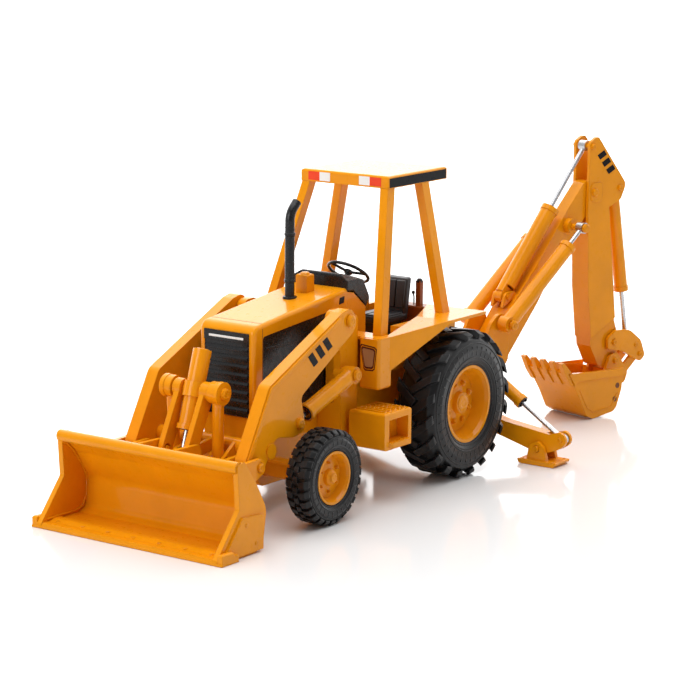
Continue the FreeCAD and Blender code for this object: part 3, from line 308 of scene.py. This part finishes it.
def add_lathe(bm, profile, place, steps):
    """Turned shape about the Z axis of a place, from (radius, height) points."""
    rings = []
    for radius, height in profile:
        if radius == 0:
            rings.append([bm.verts.new(place @ Vector((0, 0, height)))])
            continue
        ring = []
        for i in range(steps):
            turn = 2 * math.pi * i / steps
            point = Vector((radius * math.cos(turn), radius * math.sin(turn), height))
            ring.append(bm.verts.new(place @ point))
        rings.append(ring)
    for low, high in zip(rings, rings[1:]):
        for i in range(steps):
            j = (i + 1) % steps
            corners = [low[i % len(low)], low[j % len(low)], high[j % len(high)], high[i % len(high)]]
            bm.faces.new(list(dict.fromkeys(corners)))


def add_tube(bm, points, radius, steps=10, loop=False):
    """Round tube through points, with flat ends unless it is a loop."""
    points = [Vector(p) for p in points]
    count = len(points)
    side = None
    rings = []
    for i, point in enumerate(points):
        if loop:
            ahead = (points[(i + 1) % count] - points[i - 1]).normalized()
        else:
            ahead = (points[min(i + 1, count - 1)] - points[max(i - 1, 0)]).normalized()
        if side is None:
            side = ahead.orthogonal().normalized()
        side = (side - ahead * side.dot(ahead)).normalized()
        other = ahead.cross(side)
        ring = []
        for k in range(steps):
            turn = 2 * math.pi * k / steps
            offset = side * (radius * math.cos(turn)) + other * (radius * math.sin(turn))
            ring.append(bm.verts.new(point + offset))
        rings.append(ring)
    pairs = list(zip(rings, rings[1:]))
    if loop:
        pairs.append((rings[-1], rings[0]))
    for low, high in pairs:
        for k in range(steps):
            j = (k + 1) % steps
            bm.faces.new((low[k], low[j], high[j], high[k]))
    if not loop:
        bm.faces.new(rings[0])
        bm.faces.new(rings[-1])


def add_box(bm, x, y, z):
    """Box between pairs of x, y and z values."""
    add_prism(bm, [(x[0], z[0]), (x[1], z[0]), (x[1], z[1]), (x[0], z[1])], y[0], y[1])


def merge(bm, other):
    """Copy another mesh in and free it."""
    scratch = bpy.data.meshes.new("scratch")
    other.to_mesh(scratch)
    other.free()
    bm.from_mesh(scratch)
    bpy.data.meshes.remove(scratch)


def make_piece(name, bm, mat, body, place=None, soft=0.0, segments=2):
    """Finished object from a mesh in millimetres, riding on a body; soft is its edge rounding."""
    if place is not None:
        bm.transform(place)
    bm.transform(TO_FRAME)
    bmesh.ops.recalc_face_normals(bm, faces=bm.faces)
    mesh = bpy.data.meshes.new(name)
    bm.to_mesh(mesh)
    bm.free()
    mesh.shade_smooth()
    mesh.set_sharp_from_angle(angle=math.radians(32))
    mesh.materials.append(mat)
    obj = bpy.data.objects.new(name, mesh)
    scene.collection.objects.link(obj)
    if soft > 0:
        edge = obj.modifiers.new("edge", "BEVEL")
        edge.width = soft * MM
        edge.segments = segments
        edge.limit_method = "ANGLE"
    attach(obj, body)
    return obj


# ---------- wheels ----------

# Circles and radii are from the axle, faces are distances from the machine's middle plane.
WHEELS = {
    "rear": {
        "centre": REAR_WHEEL, "rings": [(7.6, 19.45), (8.6, 19.79), (11.2, 19.64)],
        "ribs": 40, "rib_inner": 9.0, "rib_outer": 10.6, "rib_face": 19.84,
        "bolts": 8, "bolt_circle": 3.6, "bolt_face": 17.3, "nut": 0.36,
        "hub": 1.5, "hub_face": 17.9, "valve_circle": 5.0, "valve_face": 16.6,
    },
    "front": {
        "centre": FRONT_WHEEL, "rings": [(4.95, 19.62), (5.5, 19.80), (7.05, 19.70)],
        "ribs": 30, "rib_inner": 5.8, "rib_outer": 6.7, "rib_face": 19.86,
        "bolts": 6, "bolt_circle": 2.5, "bolt_face": 18.6, "nut": 0.22,
        "hub": 0.8, "hub_face": 19.45, "valve_circle": 3.3, "valve_face": 18.2,
    },
}
CAP_HEIGHT = 0.22
CAP_SUNK = 0.02


def cap_profile(radius, height):
    """Domed pin head with a turned groove."""
    groove = height * 0.72
    return [(0, height), (0.30 * radius, height), (0.36 * radius, groove), (0.48 * radius, groove),
            (0.55 * radius, height), (0.86 * radius, height * 0.95), (radius, height * 0.55), (radius, -0.1)]


def make_sidewall(end, side, sign):
    """Moulded rings and a row of short ribs on the outer face of a tyre."""
    wheel = WHEELS[end]
    place = facing_y(wheel["centre"][0], 0, wheel["centre"][1], sign)
    foot, crest = 0.20, 0.07
    bm = bmesh.new()
    for radius, face in wheel["rings"]:
        low, high = face - 0.15, face + 0.10
        add_lathe(bm, [(radius - foot, low), (radius - crest, high), (radius + crest, high),
                       (radius + foot, low)], place, steps=72)
    inner, outer, half = wheel["rib_inner"], wheel["rib_outer"], 0.11
    low, high = wheel["rib_face"] - 0.2, wheel["rib_face"] + 0.05
    for i in range(wheel["ribs"]):
        rib = bmesh.new()
        add_prism(rib, [(inner, -half), (outer, -half), (outer, half), (inner, half)], low, high, "z")
        rib.transform(place @ Matrix.Rotation(2 * math.pi * i / wheel["ribs"], 4, "Z"))
        merge(bm, rib)
    make_piece(f"{end}_sidewall_{side}", bm, TYRE, f"{end}_wheel_{side}")


def make_hub_fittings(end, side, sign):
    """Hex nuts on the rim bolts, and a hub cap inside a raised collar."""
    wheel = WHEELS[end]
    x, z = wheel["centre"]
    nut, hub, circle = wheel["nut"], wheel["hub"], wheel["bolt_circle"]
    nut_sunk, nut_top, bolt_top = 0.05, 0.24, 0.34
    bm = bmesh.new()
    for i in range(wheel["bolts"]):
        turn = 2 * math.pi * (i + 0.5) / wheel["bolts"]
        across, up = circle * math.cos(turn), circle * math.sin(turn)
        place = facing_y(x + across, sign * (wheel["bolt_face"] - nut_sunk), z + up, sign)
        add_lathe(bm, [(0, bolt_top), (nut * 0.45, bolt_top), (nut * 0.5, nut_top), (nut, nut_top),
                       (nut, -0.1)], place, steps=6)
    cap_place = facing_y(x, sign * (wheel["hub_face"] - CAP_SUNK), z, sign)
    add_lathe(bm, cap_profile(hub, CAP_HEIGHT), cap_place, steps=36)
    collar_outer, collar_inner, collar_sunk = hub * 1.16, hub * 1.02, 0.06
    add_lathe(bm, [(collar_outer, -0.05), (collar_outer, 0.10), (collar_inner, 0.10), (collar_inner, -0.05)],
              facing_y(x, sign * (wheel["hub_face"] - collar_sunk), z, sign), steps=36)
    # The hub fittings take the rims' painted-shade copy of the paint.
    make_piece(f"{end}_hub_fittings_{side}", bm, RIM_PAINT_IN_SHADE, f"{end}_wheel_{side}", soft=0.03)


def make_valve(end, side, sign):
    """Valve stem on the dish of a rim."""
    wheel = WHEELS[end]
    x, z = wheel["centre"]
    x += wheel["valve_circle"]
    root, tip = wheel["valve_face"] - 0.3, wheel["valve_face"] + 0.5
    bm = bmesh.new()
    add_tube(bm, [(x, sign * root, z), (x, sign * tip, z)], 0.16)
    make_piece(f"{end}_valve_{side}", bm, BLACK, f"{end}_wheel_{side}")


def make_wheels():
    for side, sign in SIDES:
        for end in WHEELS:
            make_sidewall(end, side, sign)
        for end in WHEELS:
            make_hub_fittings(end, side, sign)
            make_valve(end, side, sign)


# ---------- canopy and cab ----------

def make_canopy_marks():
    """Signal strips on the front of the roof, a dark band along each side, and ribs under it."""
    front, half_depth = 12.4, 0.05
    for name, mat, near, far in (("red", SIGNAL, 5.5, 8.0), ("white", WHITE, 3.2, 5.5)):
        bm = bmesh.new()
        for y in mirrored(near, far):
            add_box(bm, (front - half_depth, front + half_depth), y, (53.5, 55.05))
        make_piece(f"roof_strip_{name}", bm, mat, "machine")
    bm = bmesh.new()
    for y in mirrored(9.55, 9.65):
        add_box(bm, (-5.9, 12.1), y, (53.35, 55.0))
    make_piece("roof_side_bands", bm, BAND, "machine")
    bm = bmesh.new()
    rib_half = 0.25
    for y in (-4.5, -1.5, 1.5, 4.5):
        add_box(bm, (-3.4, 9.6), (y - rib_half, y + rib_half), (54.2, 54.55))
    make_piece("roof_ribs", bm, ORANGE, "machine", soft=0.1)


def make_pillar_panels():
    """Panel on the front of each pillar foot: layers that shrink about its middle. The dark red edge and rim
    are painted shade along the panel's recessed outline.
    """
    face, sunk = 22.9, 0.05
    edge = [(11.15, 26.9), (11.45, 27.25), (14.3, 27.0), (14.75, 26.6), (14.3, 23.0), (13.9, 22.65),
            (12.3, 22.6), (11.95, 22.9)]
    mid_y, mid_z = 12.95, 24.95
    layers = (("edge", PANEL_EDGE_SHADE, 1.0, 0.03), ("line", ORANGE, 0.90, 0.045),
              ("rim", PANEL_EDGE_SHADE, 0.84, 0.06), ("field", DECAL_FIELD, 0.70, 0.075))
    for name, mat, scale, height in layers:
        bm = bmesh.new()
        for sign in (1, -1):
            outline = [(sign * (mid_y + (y - mid_y) * scale), mid_z + (z - mid_z) * scale) for y, z in edge]
            add_prism(bm, outline, face - sunk, face + height, "x")
        make_piece(f"pillar_panel_{name}", bm, mat, "machine")


def rounded_loop(x0, x1, y0, y1, z, corner):
    """Points of a rounded rectangle at one height."""
    points = []
    for cx, cy, start in ((x1 - corner, y1 - corner, 0), (x0 + corner, y1 - corner, 90),
                          (x0 + corner, y0 + corner, 180), (x1 - corner, y0 + corner, 270)):
        for step in range(5):
            turn = math.radians(start + step * 22.5)
            points.append((cx + corner * math.cos(turn), cy + corner * math.sin(turn), z))
    return points


def make_seat():
    """Moulded seat in place of its plain solid: pedestal, cushion and back with raised pads."""
    foot_half, neck_half, cushion_half, back_half = 2.6, 2.3, 3.1, 3.0
    foot_top = 24.0
    bm = bmesh.new()
    add_box(bm, (-3.0, 3.4), (-foot_half, foot_half), (21.2, foot_top))
    add_prism(bm, [(-2.6, foot_top), (3.0, foot_top), (3.6, 26.6), (-3.2, 26.6)], -neck_half, neck_half)
    add_prism(bm, [(-3.6, 26.5), (4.2, 26.6), (4.2, 27.9), (-2.6, 27.9), (-3.6, 28.2)],
              -cushion_half, cushion_half)
    add_prism(bm, [(-3.9, 26.5), (-2.5, 26.7), (-3.4, 34.3), (-5.2, 34.5)], -back_half, back_half)
    shell = make_piece("seat_shell", bm, SEAT, "machine", soft=0.45, segments=4)
    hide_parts("seat")
    pad_pitch, pad_half = 1.95, 0.9
    bm = bmesh.new()
    for y in (-pad_pitch, 0.0, pad_pitch):
        add_box(bm, (-2.3, 3.9), (y - pad_half, y + pad_half), (27.6, 28.35))
        add_prism(bm, [(-2.65, 28.9), (-2.25, 28.9), (-2.85, 34.0), (-3.5, 34.0)], y - pad_half, y + pad_half)
    make_piece("seat_pads", bm, SEAT, "machine", soft=0.3, segments=3)
    bm = bmesh.new()
    add_tube(bm, rounded_loop(-2.5, 4.15, -3.05, 3.05, 27.9, corner=0.8), 0.16, steps=8, loop=True)
    make_piece("seat_piping", bm, SEAT, "machine")


def make_gauges():
    """Four dials in bright bezels on the sloping dash, each with a small hub at its middle."""
    dash = pointing((13.55, 0, 35.25), (-0.863, 0, 0.507))
    bezels = bmesh.new()
    dials = bmesh.new()
    for y, radius in ((-3.6, 0.7), (-1.3, 0.95), (1.3, 0.95), (3.6, 0.7)):
        place = Matrix.Translation((0, y, 0)) @ dash
        add_lathe(bezels, [(radius * 0.82, 0.05), (radius * 0.86, 0.2), (radius, 0.2), (radius, -0.2)],
                  place, steps=28)
        add_lathe(dials, [(0, 0.1), (radius * 0.84, 0.1), (radius * 0.84, -0.2)], place, steps=28)
        add_lathe(dials, [(0, 0.16), (0.12, 0.16), (0.12, 0.05)], place, steps=12)
    make_piece("gauge_bezels", bezels, CHROME, "machine")
    make_piece("gauge_dials", dials, WHITE, "machine")


def make_horn_button():
    bm = bmesh.new()
    wheel_hub = pointing((11.0, 0, 37.2), (-0.574, 0, 0.819))
    add_lathe(bm, [(0, 0.5), (0.4, 0.46), (0.62, 0.36), (0.66, 0.2)], wheel_hub, steps=28)
    make_piece("horn_button", bm, BLACK, "machine")


def make_lever_knobs():
    """Round knobs on the two console posts, and three small levers between them."""
    post_x, post_y, lever_x, lever_pitch = -6.7, 3.6, -7.6, 1.8
    bm = bmesh.new()
    for y in (-post_y, post_y):
        add_lathe(bm, [(0, 34.1), (0.3, 34.05), (0.55, 33.8), (0.6, 33.5), (0.5, 33.2), (0.3, 33.0)],
                  Matrix.Translation((post_x, y, 0)), steps=20)
    for y in (-lever_pitch, 0.0, lever_pitch):
        add_tube(bm, [(lever_x, y, 28.7), (lever_x, y, 30.2), (-7.4, y, 31.0)], 0.14)
        add_lathe(bm, [(0, 31.5), (0.25, 31.4), (0.34, 31.1), (0.2, 30.8)],
                  Matrix.Translation((-7.35, y, 0)), steps=16)
    make_piece("lever_knobs", bm, BLACK, "machine")


def make_floor_mat():
    first_x, pitch, width, half_length = 5.6, 0.9, 0.4, 7.4
    bm = bmesh.new()
    for i in range(9):
        x = first_x + i * pitch
        add_box(bm, (x, x + width), (-half_length, half_length), (21.15, 21.4))
    # The floor mat ribs take the dark red-brown painted shade of the cab floor.
    make_piece("floor_mat_ribs", bm, PAINT_IN_SHADE_BROWN, "machine", soft=0.06)


def make_pedals():
    half = 0.6
    bm = bmesh.new()
    for y in (-3.6, -1.6, 3.0):
        add_prism(bm, [(12.6, 21.9), (13.6, 23.6), (13.35, 23.75), (12.3, 22.05)], y - half, y + half)
        add_tube(bm, [(13.0, y, 22.8), (13.95, y, 22.3)], 0.15)
    make_piece("pedals", bm, BLACK, "machine", soft=0.05)


# ---------- hood and frame ----------

HOOD_REAR_X = 19.6
HOOD_REAR_Z = 36.0
HOOD_DROP = 3.1
HOOD_LENGTH = 26.7
EXHAUST_X = 28.6
PIPE_RADIUS = 0.86


def hood_top(x):
    """Height of the hood's sloping top."""
    return HOOD_REAR_Z - (x - HOOD_REAR_X) * HOOD_DROP / HOOD_LENGTH


def make_hood_seams():
    """Dark line of painted shade across the top of the hood and one down each side, behind the grille
    surround.
    """
    x = 43.6
    top = hood_top(x)
    bm = bmesh.new()
    add_box(bm, (x - 0.08, x + 0.08), (-5.35, 5.35), (top - 0.2, top + 0.012))
    for y in mirrored(5.7, 5.912):
        add_box(bm, (x + 0.35, x + 0.48), y, (17.6, top - 0.75))
    make_piece("hood_seams", bm, SEAM_AND_HOLE_SHADE, "machine")


def make_hood_marks():
    """Plain bar on the grille and a plain tab on each side of the hood."""
    bm = bmesh.new()
    add_box(bm, (46.2, 46.56), (-3.7, 3.7), (30.55, 30.95))
    make_piece("grille_bar", bm, WHITE, "machine", soft=0.05)
    bm = bmesh.new()
    for low, high in mirrored(5.8, 6.0):
        add_prism(bm, [(20.6, 33.6), (22.0, 33.45), (21.8, 34.6), (20.4, 34.75)], low, high)
    make_piece("hood_side_marks", bm, BAND, "machine", soft=0.05)


def make_hood_fittings():
    """Cap of the pre-cleaner, and a foot collar and two clamps on the exhaust pipe."""
    bm = bmesh.new()
    add_lathe(bm, [(0, 38.95), (0.6, 38.9), (0.85, 38.75), (0.9, 38.4)],
              Matrix.Translation((24.0, -0.1, 0)), steps=28)
    make_piece("pre_cleaner_cap", bm, ORANGE, "machine")
    bm = bmesh.new()
    add_lathe(bm, [(PIPE_RADIUS, 35.6), (1.25, 35.5), (1.3, 34.8)],
              Matrix.Translation((EXHAUST_X, 0, -0.25)), steps=32)
    band, half, root_half = 0.98, 0.22, 0.3
    for z in (38.0, 46.2):
        add_lathe(bm, [(PIPE_RADIUS, z - root_half), (band, z - half), (band, z + half),
                       (PIPE_RADIUS, z + root_half)], Matrix.Translation((EXHAUST_X, 0, 0)), steps=32)
    make_piece("exhaust_clamps", bm, BLACK, "machine")


def make_underside():
    """Screw heads, a drain plug and cross ribs on the belly of the frame."""
    front_belly, rear_belly = 4.8, 8.6
    down = Matrix.Rotation(math.pi, 4, "X")
    bm = bmesh.new()
    for x, z in ((40.5, front_belly), (27.0, front_belly), (14.0, rear_belly), (-8.0, rear_belly)):
        for y in (-3.2, 3.2):
            add_lathe(bm, cap_profile(0.7, 0.25), Matrix.Translation((x, y, z)) @ down, steps=24)
    drain = Matrix.Translation((32.5, 0, front_belly)) @ down
    add_lathe(bm, [(0, 0.5), (0.6, 0.5), (0.6, -0.1)], drain, steps=6)
    # The belly screws take the darker, painted-shade copy of the paint.
    make_piece("belly_screws", bm, AXLE_PAINT_IN_SHADE, "machine")
    rib_half, rib_reach = 0.4, 4.6
    bm = bmesh.new()
    for z, places in ((front_belly, (30.0, 36.0)), (rear_belly, (-4.5, 4.5, 9.5))):
        for x in places:
            add_box(bm, (x - rib_half, x + rib_half), (-rib_reach, rib_reach), (z - 0.35, z + 0.1))
    make_piece("belly_ribs", bm, ORANGE, "machine", soft=0.1)


def slanted_bars(faces, pitch, wide, narrow, half_height, place):
    """Three slanted bars in a row, between two distances from the middle plane, on both sides."""
    bm = bmesh.new()
    for low, high in mirrored(*faces):
        for i in (-1, 0, 1):
            shift = i * pitch
            bar = bmesh.new()
            add_prism(bar, [(shift - wide, -half_height), (shift + narrow, -half_height),
                            (shift + wide, half_height), (shift - narrow, half_height)], low, high)
            bar.transform(place)
            merge(bm, bar)
    return bm


def make_marks():
    """Three plain slanted bars on each loader arm and on each side of the stick head."""
    along_arm = Matrix.Translation((37.2, 0, 28.3)) @ Matrix.Rotation(math.radians(27), 4, "Y")
    bm = slanted_bars((12.95, 13.05), pitch=2.3, wide=1.0, narrow=0.4, half_height=1.25, place=along_arm)
    make_piece("arm_marks", bm, BAND, "arms")
    along_head = Matrix.Translation((40.9, 0, 51.2)) @ Matrix.Rotation(math.radians(50), 4, "Y")
    bm = slanted_bars((2.2, 2.31), pitch=2.0, wide=0.85, narrow=0.35, half_height=1.0, place=along_head)
    make_piece("stick_marks", bm, BAND, "stick_body", HOE)


def make_step_grips():
    """Raised diamond studs on top of the step boxes, in staggered rows, and short bars on the lower lip."""
    first_x, row_pitch = 19.1, 0.72
    first_y, column_pitch = 12.1, 0.86
    box_top = 16.2
    lip_x, lip_pitch, lip_half = 19.4, 0.95, 0.13
    bm = bmesh.new()
    for sign in (1, -1):
        for row in range(9):
            stagger = column_pitch / 2 if row % 2 else 0.0
            for column in range(8):
                x = first_x + row * row_pitch
                y = sign * (first_y + column * column_pitch + stagger)
                stud = Matrix.Translation((x, y, box_top))
                add_lathe(bm, [(0, 0.24), (0.30, 0.0), (0.30, -0.2)], stud, steps=4)
    for y in mirrored(18.55, 19.1):
        for i in range(6):
            x = lip_x + i * lip_pitch
            add_box(bm, (x - lip_half, x + lip_half), y, (10.8, 11.02))
    make_piece("step_grips", bm, ORANGE, "machine")


# ---------- pins and cylinders ----------

def caps(name, body, heads, place=None):
    """Turned heads on both ends of pins: (point, outer face, radius) for each pin."""
    bm = bmesh.new()
    for point, face, radius in heads:
        for sign in (1, -1):
            add_lathe(bm, cap_profile(radius, CAP_HEIGHT),
                      facing_y(point[0], sign * (face - CAP_SUNK), point[1], sign), steps=28)
    make_piece(name, bm, ORANGE, body, place)


def make_pin_caps():
    caps("frame_pin_caps", "machine", [(ARM_PIVOT, 13.45, 1.0), (LIFT_BASE, 13.45, 0.9)])
    caps("arm_pin_caps", "arms", [(LIFT_ROD, 13.4, 0.85), (BUCKET_PIN, 14.6, 0.72)])
    caps("lever_pin_caps", "tilt_lever", [(CROSS_PIN, 6.7, 0.9)])
    caps("swing_pin_caps", "swing", [(BOOM_FOOT, 3.9, 0.72), (BOOM_BASE, 7.3, 0.9)], HOE)
    caps("boom_pin_caps", "boom_body", [(BOOM_ROD, 6.6, 0.8)], HOE)
    caps("stick_pin_caps", "stick_body", [(STICK_PIN, 2.7, 0.72), (STICK_ROD, 2.6, 0.5),
                                          (HOE_BASE, 2.6, 0.55), (MOON_PIN, 3.1, 0.55)], HOE)
    caps("moon_pin_caps", "half_moon", [(HOE_ROD, 2.9, 0.5), (MOON_LINK, 3.1, 0.5)], HOE)
    caps("hoe_bucket_pin_caps", "hoe_bucket_body", [(HOE_PIN, 3.0, 0.62), (HOE_LINK, 2.9, 0.42)], HOE)


def make_stabilizer_pin_caps():
    """Turned heads on the front ends of the pins that carry the rod and the pad of each leg."""
    for side, sign in SIDES:
        bm = bmesh.new()
        for point, reach, radius in ((STAB_ROD, 1.35, 0.45), (PAD_PIN, 2.3, 0.55)):
            add_lathe(bm, cap_profile(radius, 0.2),
                      facing_x(STAB_X + reach - CAP_SUNK, sign * point[0], point[1]), steps=24)
        make_piece(f"stab_pin_caps_{side}", bm, ORANGE, f"leg_{side}")


def gland(bm, spot, away, bore):
    """Dark wiper ring on the mouth of a barrel, clear of the rod at every stroke."""
    inner, outer = bore - 0.02, bore + 0.22
    add_lathe(bm, [(inner, -0.3), (inner, 0.06), (bore + 0.05, 0.11), (bore + 0.16, 0.11), (outer, 0.05),
                   (outer, -0.1)], pointing(spot, away), steps=32)


def toward(base, far):
    """Direction from one pin to another in the XZ plane."""
    return Vector((far[0] - base[0], 0, far[1] - base[1])).normalized()


def make_glands():
    """Wiper rings of the cylinders: body, barrel pin, rod pin, Y places, distance to the mouth, bore."""
    rows = [("lift_seals", "lift_barrel", LIFT_BASE, LIFT_ROD, (11.85, -11.85), 14.0, 1.1, None),
            ("boom_seals", "boom_barrel", BOOM_BASE, BOOM_ROD, (5.3, -5.3), 21.4, 1.2, HOE),
            ("stick_seal", "stick_cylinder", STICK_BASE, STICK_ROD, (0,), 20.6, 1.3, HOE),
            ("hoe_seal", "hoe_cylinder", HOE_BASE, HOE_ROD, (0,), 21.9, 1.05, HOE),
            ("tilt_seal", "tilt_cylinder", CROSS_PIN, TILT_FOOT, (0,), 6.9, 1.1, None)]
    for name, body, base, far, offsets, mouth, bore, place in rows:
        bm = bmesh.new()
        away = toward(base, far)
        for y in offsets:
            gland(bm, Vector((base[0], y, base[1])) + away * mouth, away, bore)
        make_piece(name, bm, BLACK, body, place)


def make_stabilizer_glands():
    """Wiper rings of the stabilizer cylinders, which lie in the YZ plane."""
    mouth, bore = 14.0, 0.98
    for side, sign in SIDES:
        bm = bmesh.new()
        away = Vector((0, sign * (STAB_ROD[0] - STAB_BASE[0]), STAB_ROD[1] - STAB_BASE[1])).normalized()
        gland(bm, Vector((STAB_X, sign * STAB_BASE[0], STAB_BASE[1])) + away * mouth, away, bore)
        make_piece(f"stab_seal_{side}", bm, BLACK, f"leg_barrel_{side}")


def make_tilt_barrel_cap():
    """Domed cap on the upper end of the tilt barrel."""
    barrel_top = 6.8
    upward = toward(TILT_FOOT, CROSS_PIN)
    top = Vector((CROSS_PIN[0], 0, CROSS_PIN[1])) + upward * barrel_top
    bm = bmesh.new()
    add_lathe(bm, [(0, 0.18), (0.9, 0.16), (1.3, 0.05), (1.35, -0.1)], pointing(top, upward), steps=32)
    make_piece("tilt_barrel_cap", bm, ORANGE, "tilt_cylinder")


# ---------- buckets and pads ----------

def make_loader_bucket_details():
    """Weld beads inside the side plates, bolts on the cutting edge and side plates, and two back ribs."""
    weld_y, side_face, rib_y, rib_half = 18.25, 19.63, 9.7, 0.35
    weld = [(67.9, 14.0), (66.6, 13.4), (65.0, 11.9), (62.8, 9.0), (61.7, 6.7), (61.9, 3.6), (62.9, 1.8),
            (64.6, 1.3), (71.8, 1.3)]
    bm = bmesh.new()
    for sign in (1, -1):
        add_tube(bm, [(x, sign * weld_y, z) for x, z in weld], 0.22, steps=8)
    make_piece("bucket_weld_beads", bm, ORANGE, "bucket")
    edge_pitch, bolt = 5.5, 0.42
    bm = bmesh.new()
    for i in range(-3, 4):
        add_lathe(bm, cap_profile(bolt, 0.10), Matrix.Translation((71.0, i * edge_pitch, 1.0)), steps=20)
    for sign in (1, -1):
        for x, z in ((63.4, 1.7), (70.0, 1.7), (66.0, 5.2)):
            add_lathe(bm, cap_profile(bolt, 0.12), facing_y(x, sign * side_face, z, sign), steps=20)
    make_piece("bucket_bolts", bm, ORANGE, "bucket")
    bm = bmesh.new()
    for y in (-rib_y, rib_y):
        add_prism(bm, [(60.9, 6.6), (61.6, 2.2), (62.6, 1.0), (60.9, 1.6), (60.3, 6.0)],
                  y - rib_half, y + rib_half)
    make_piece("bucket_back_ribs", bm, ORANGE, "bucket", soft=0.1)


def make_hoe_bucket_details():
    """Dark discs of painted shade for the corner holes, and pressed side ridges of the hoe bucket."""
    side_face, ridge_y = 5.7, 5.72
    bm = bmesh.new()
    for x, z in ((41.6, 3.3), (42.3, 6.0)):
        for sign in (1, -1):
            add_lathe(bm, [(0, 0.02), (0.5, 0.02), (0.55, 0.06), (0.6, -0.1)],
                      facing_y(x, sign * side_face, z, sign), steps=20)
    make_piece("hoe_side_holes", bm, SEAM_AND_HOLE_SHADE, "hoe_bucket_body", HOE)
    ridge = [(31.4, 6.4), (33.6, 2.6), (35.4, 1.4), (40.6, 1.9), (42.2, 4.4)]
    bm = bmesh.new()
    for sign in (1, -1):
        add_tube(bm, [(x, sign * ridge_y, z) for x, z in ridge], 0.13, steps=8)
    make_piece("hoe_side_ridges", bm, ORANGE, "hoe_bucket_body", HOE)


def make_pad_bolts():
    """Bolt heads on the stabilizer pads."""
    pad_top, from_pin = 0.88, 2.1
    for side, sign in SIDES:
        bm = bmesh.new()
        for x in (STAB_X - from_pin, STAB_X + from_pin):
            for y in (21.8, 28.2):
                add_lathe(bm, cap_profile(0.32, 0.12), Matrix.Translation((x, sign * y, pad_top)), steps=18)
        make_piece(f"pad_bolts_{side}", bm, ORANGE, f"pad_{side}")


# ---------- stage: floor, lights, camera; in metres ----------

def make_floor():
    """Wide glossy sheet a hair below the tyres."""
    half, level = 3.0, -0.00004
    bm = bmesh.new()
    for x, y in ((-half, -half), (half, -half), (half, half), (-half, half)):
        bm.verts.new((x, y, level))
    bm.faces.new(bm.verts)
    mesh = bpy.data.meshes.new("studio_floor")
    bm.to_mesh(mesh)
    bm.free()
    floor = bpy.data.objects.new("studio_floor", mesh)
    scene.collection.objects.link(floor)
    mat, tree, shader = new_material("floor_gloss")
    haze = noise(tree, 6.0, detail=3.0, rough=0.5)
    tree.links.new(ramp(tree, haze, [(0.3, grey(0.80)), (0.7, grey(0.83))]), shader.inputs["Base Color"])
    shader.inputs["Roughness"].default_value = 0.10
    shader.inputs["Specular IOR Level"].default_value = 0.5
    mesh.materials.append(mat)


def area_light(name, spot, target, size, power):
    """Rectangular soft box aimed at a target."""
    data = bpy.data.lights.new(name, "AREA")
    data.shape = "RECTANGLE"
    data.size = size[0]
    data.size_y = size[1]
    data.energy = power
    lamp = bpy.data.objects.new(name, data)
    lamp.location = spot
    aim = Vector(target) - Vector(spot)
    lamp.rotation_euler = aim.to_track_quat("-Z", "Y").to_euler()
    scene.collection.objects.link(lamp)


def make_world():
    """Bright sweep behind the machine and a dimmer room on the other side, fixed in direction."""
    sweep = (-0.80, -0.58, 0.10)
    world = bpy.data.worlds.new("studio")
    scene.world = world
    world.use_nodes = True
    tree = world.node_tree
    coords = tree.nodes.new("ShaderNodeTexCoord")
    along = tree.nodes.new("ShaderNodeVectorMath")
    along.operation = "DOT_PRODUCT"
    along.inputs[1].default_value = sweep
    tree.links.new(coords.outputs["Generated"], along.inputs[0])
    zero_to_one = tree.nodes.new("ShaderNodeMath")
    zero_to_one.operation = "MULTIPLY_ADD"
    zero_to_one.inputs[1].default_value = 0.5
    zero_to_one.inputs[2].default_value = 0.5
    tree.links.new(along.outputs["Value"], zero_to_one.inputs[0])
    tone = ramp(tree, zero_to_one.outputs[0],
                [(0.0, grey(0.07)), (0.45, grey(0.12)), (0.70, grey(0.40)), (0.88, grey(1.0))])
    tree.links.new(tone, tree.nodes["Background"].inputs["Color"])
    tree.nodes["Background"].inputs["Strength"].default_value = 2.8


def make_lights():
    """A large soft box overhead and two smaller ones, in front and on the machine's left."""
    ground, middle = (0.0, 0.0, 0.0), (0.0, 0.0, 0.03)
    area_light("overhead", (0.05, 0.05, 0.60), ground, size=(0.60, 0.60), power=2.9)
    area_light("front", (0.62, -0.10, 0.25), middle, size=(0.30, 0.30), power=1.5)
    area_light("side", (0.05, 0.60, 0.24), middle, size=(0.40, 0.25), power=0.12)


def make_camera():
    """Long lens ahead of the machine's left front corner, fitted to the photograph."""
    spot = Vector((0.37009, 0.25656, 0.11142))
    target = Vector((0.02022, 0.006925, 0.025124))
    roll = 0.008
    data = bpy.data.cameras.new("photo_view")
    data.sensor_width = 36.0
    data.lens = 127.45
    data.clip_start = 0.01
    data.clip_end = 20.0
    camera = bpy.data.objects.new("photo_view", data)
    turn = (target - spot).to_track_quat("-Z", "Y").to_matrix().to_4x4()
    camera.matrix_world = Matrix.Translation(spot) @ turn @ Matrix.Rotation(roll, 4, "Z")
    scene.collection.objects.link(camera)
    scene.camera = camera


make_wheels()
make_canopy_marks()
make_pillar_panels()
make_seat()
make_gauges()
make_horn_button()
make_lever_knobs()
make_floor_mat()
make_pedals()
make_hood_seams()
make_hood_marks()
make_hood_fittings()
make_underside()
make_marks()
make_step_grips()
make_pin_caps()
make_stabilizer_pin_caps()
make_glands()
make_stabilizer_glands()
make_tilt_barrel_cap()
make_loader_bucket_details()
make_hoe_bucket_details()
make_pad_bolts()
make_floor()
make_world()
make_lights()
make_camera()
scene.view_settings.view_transform = "Standard"
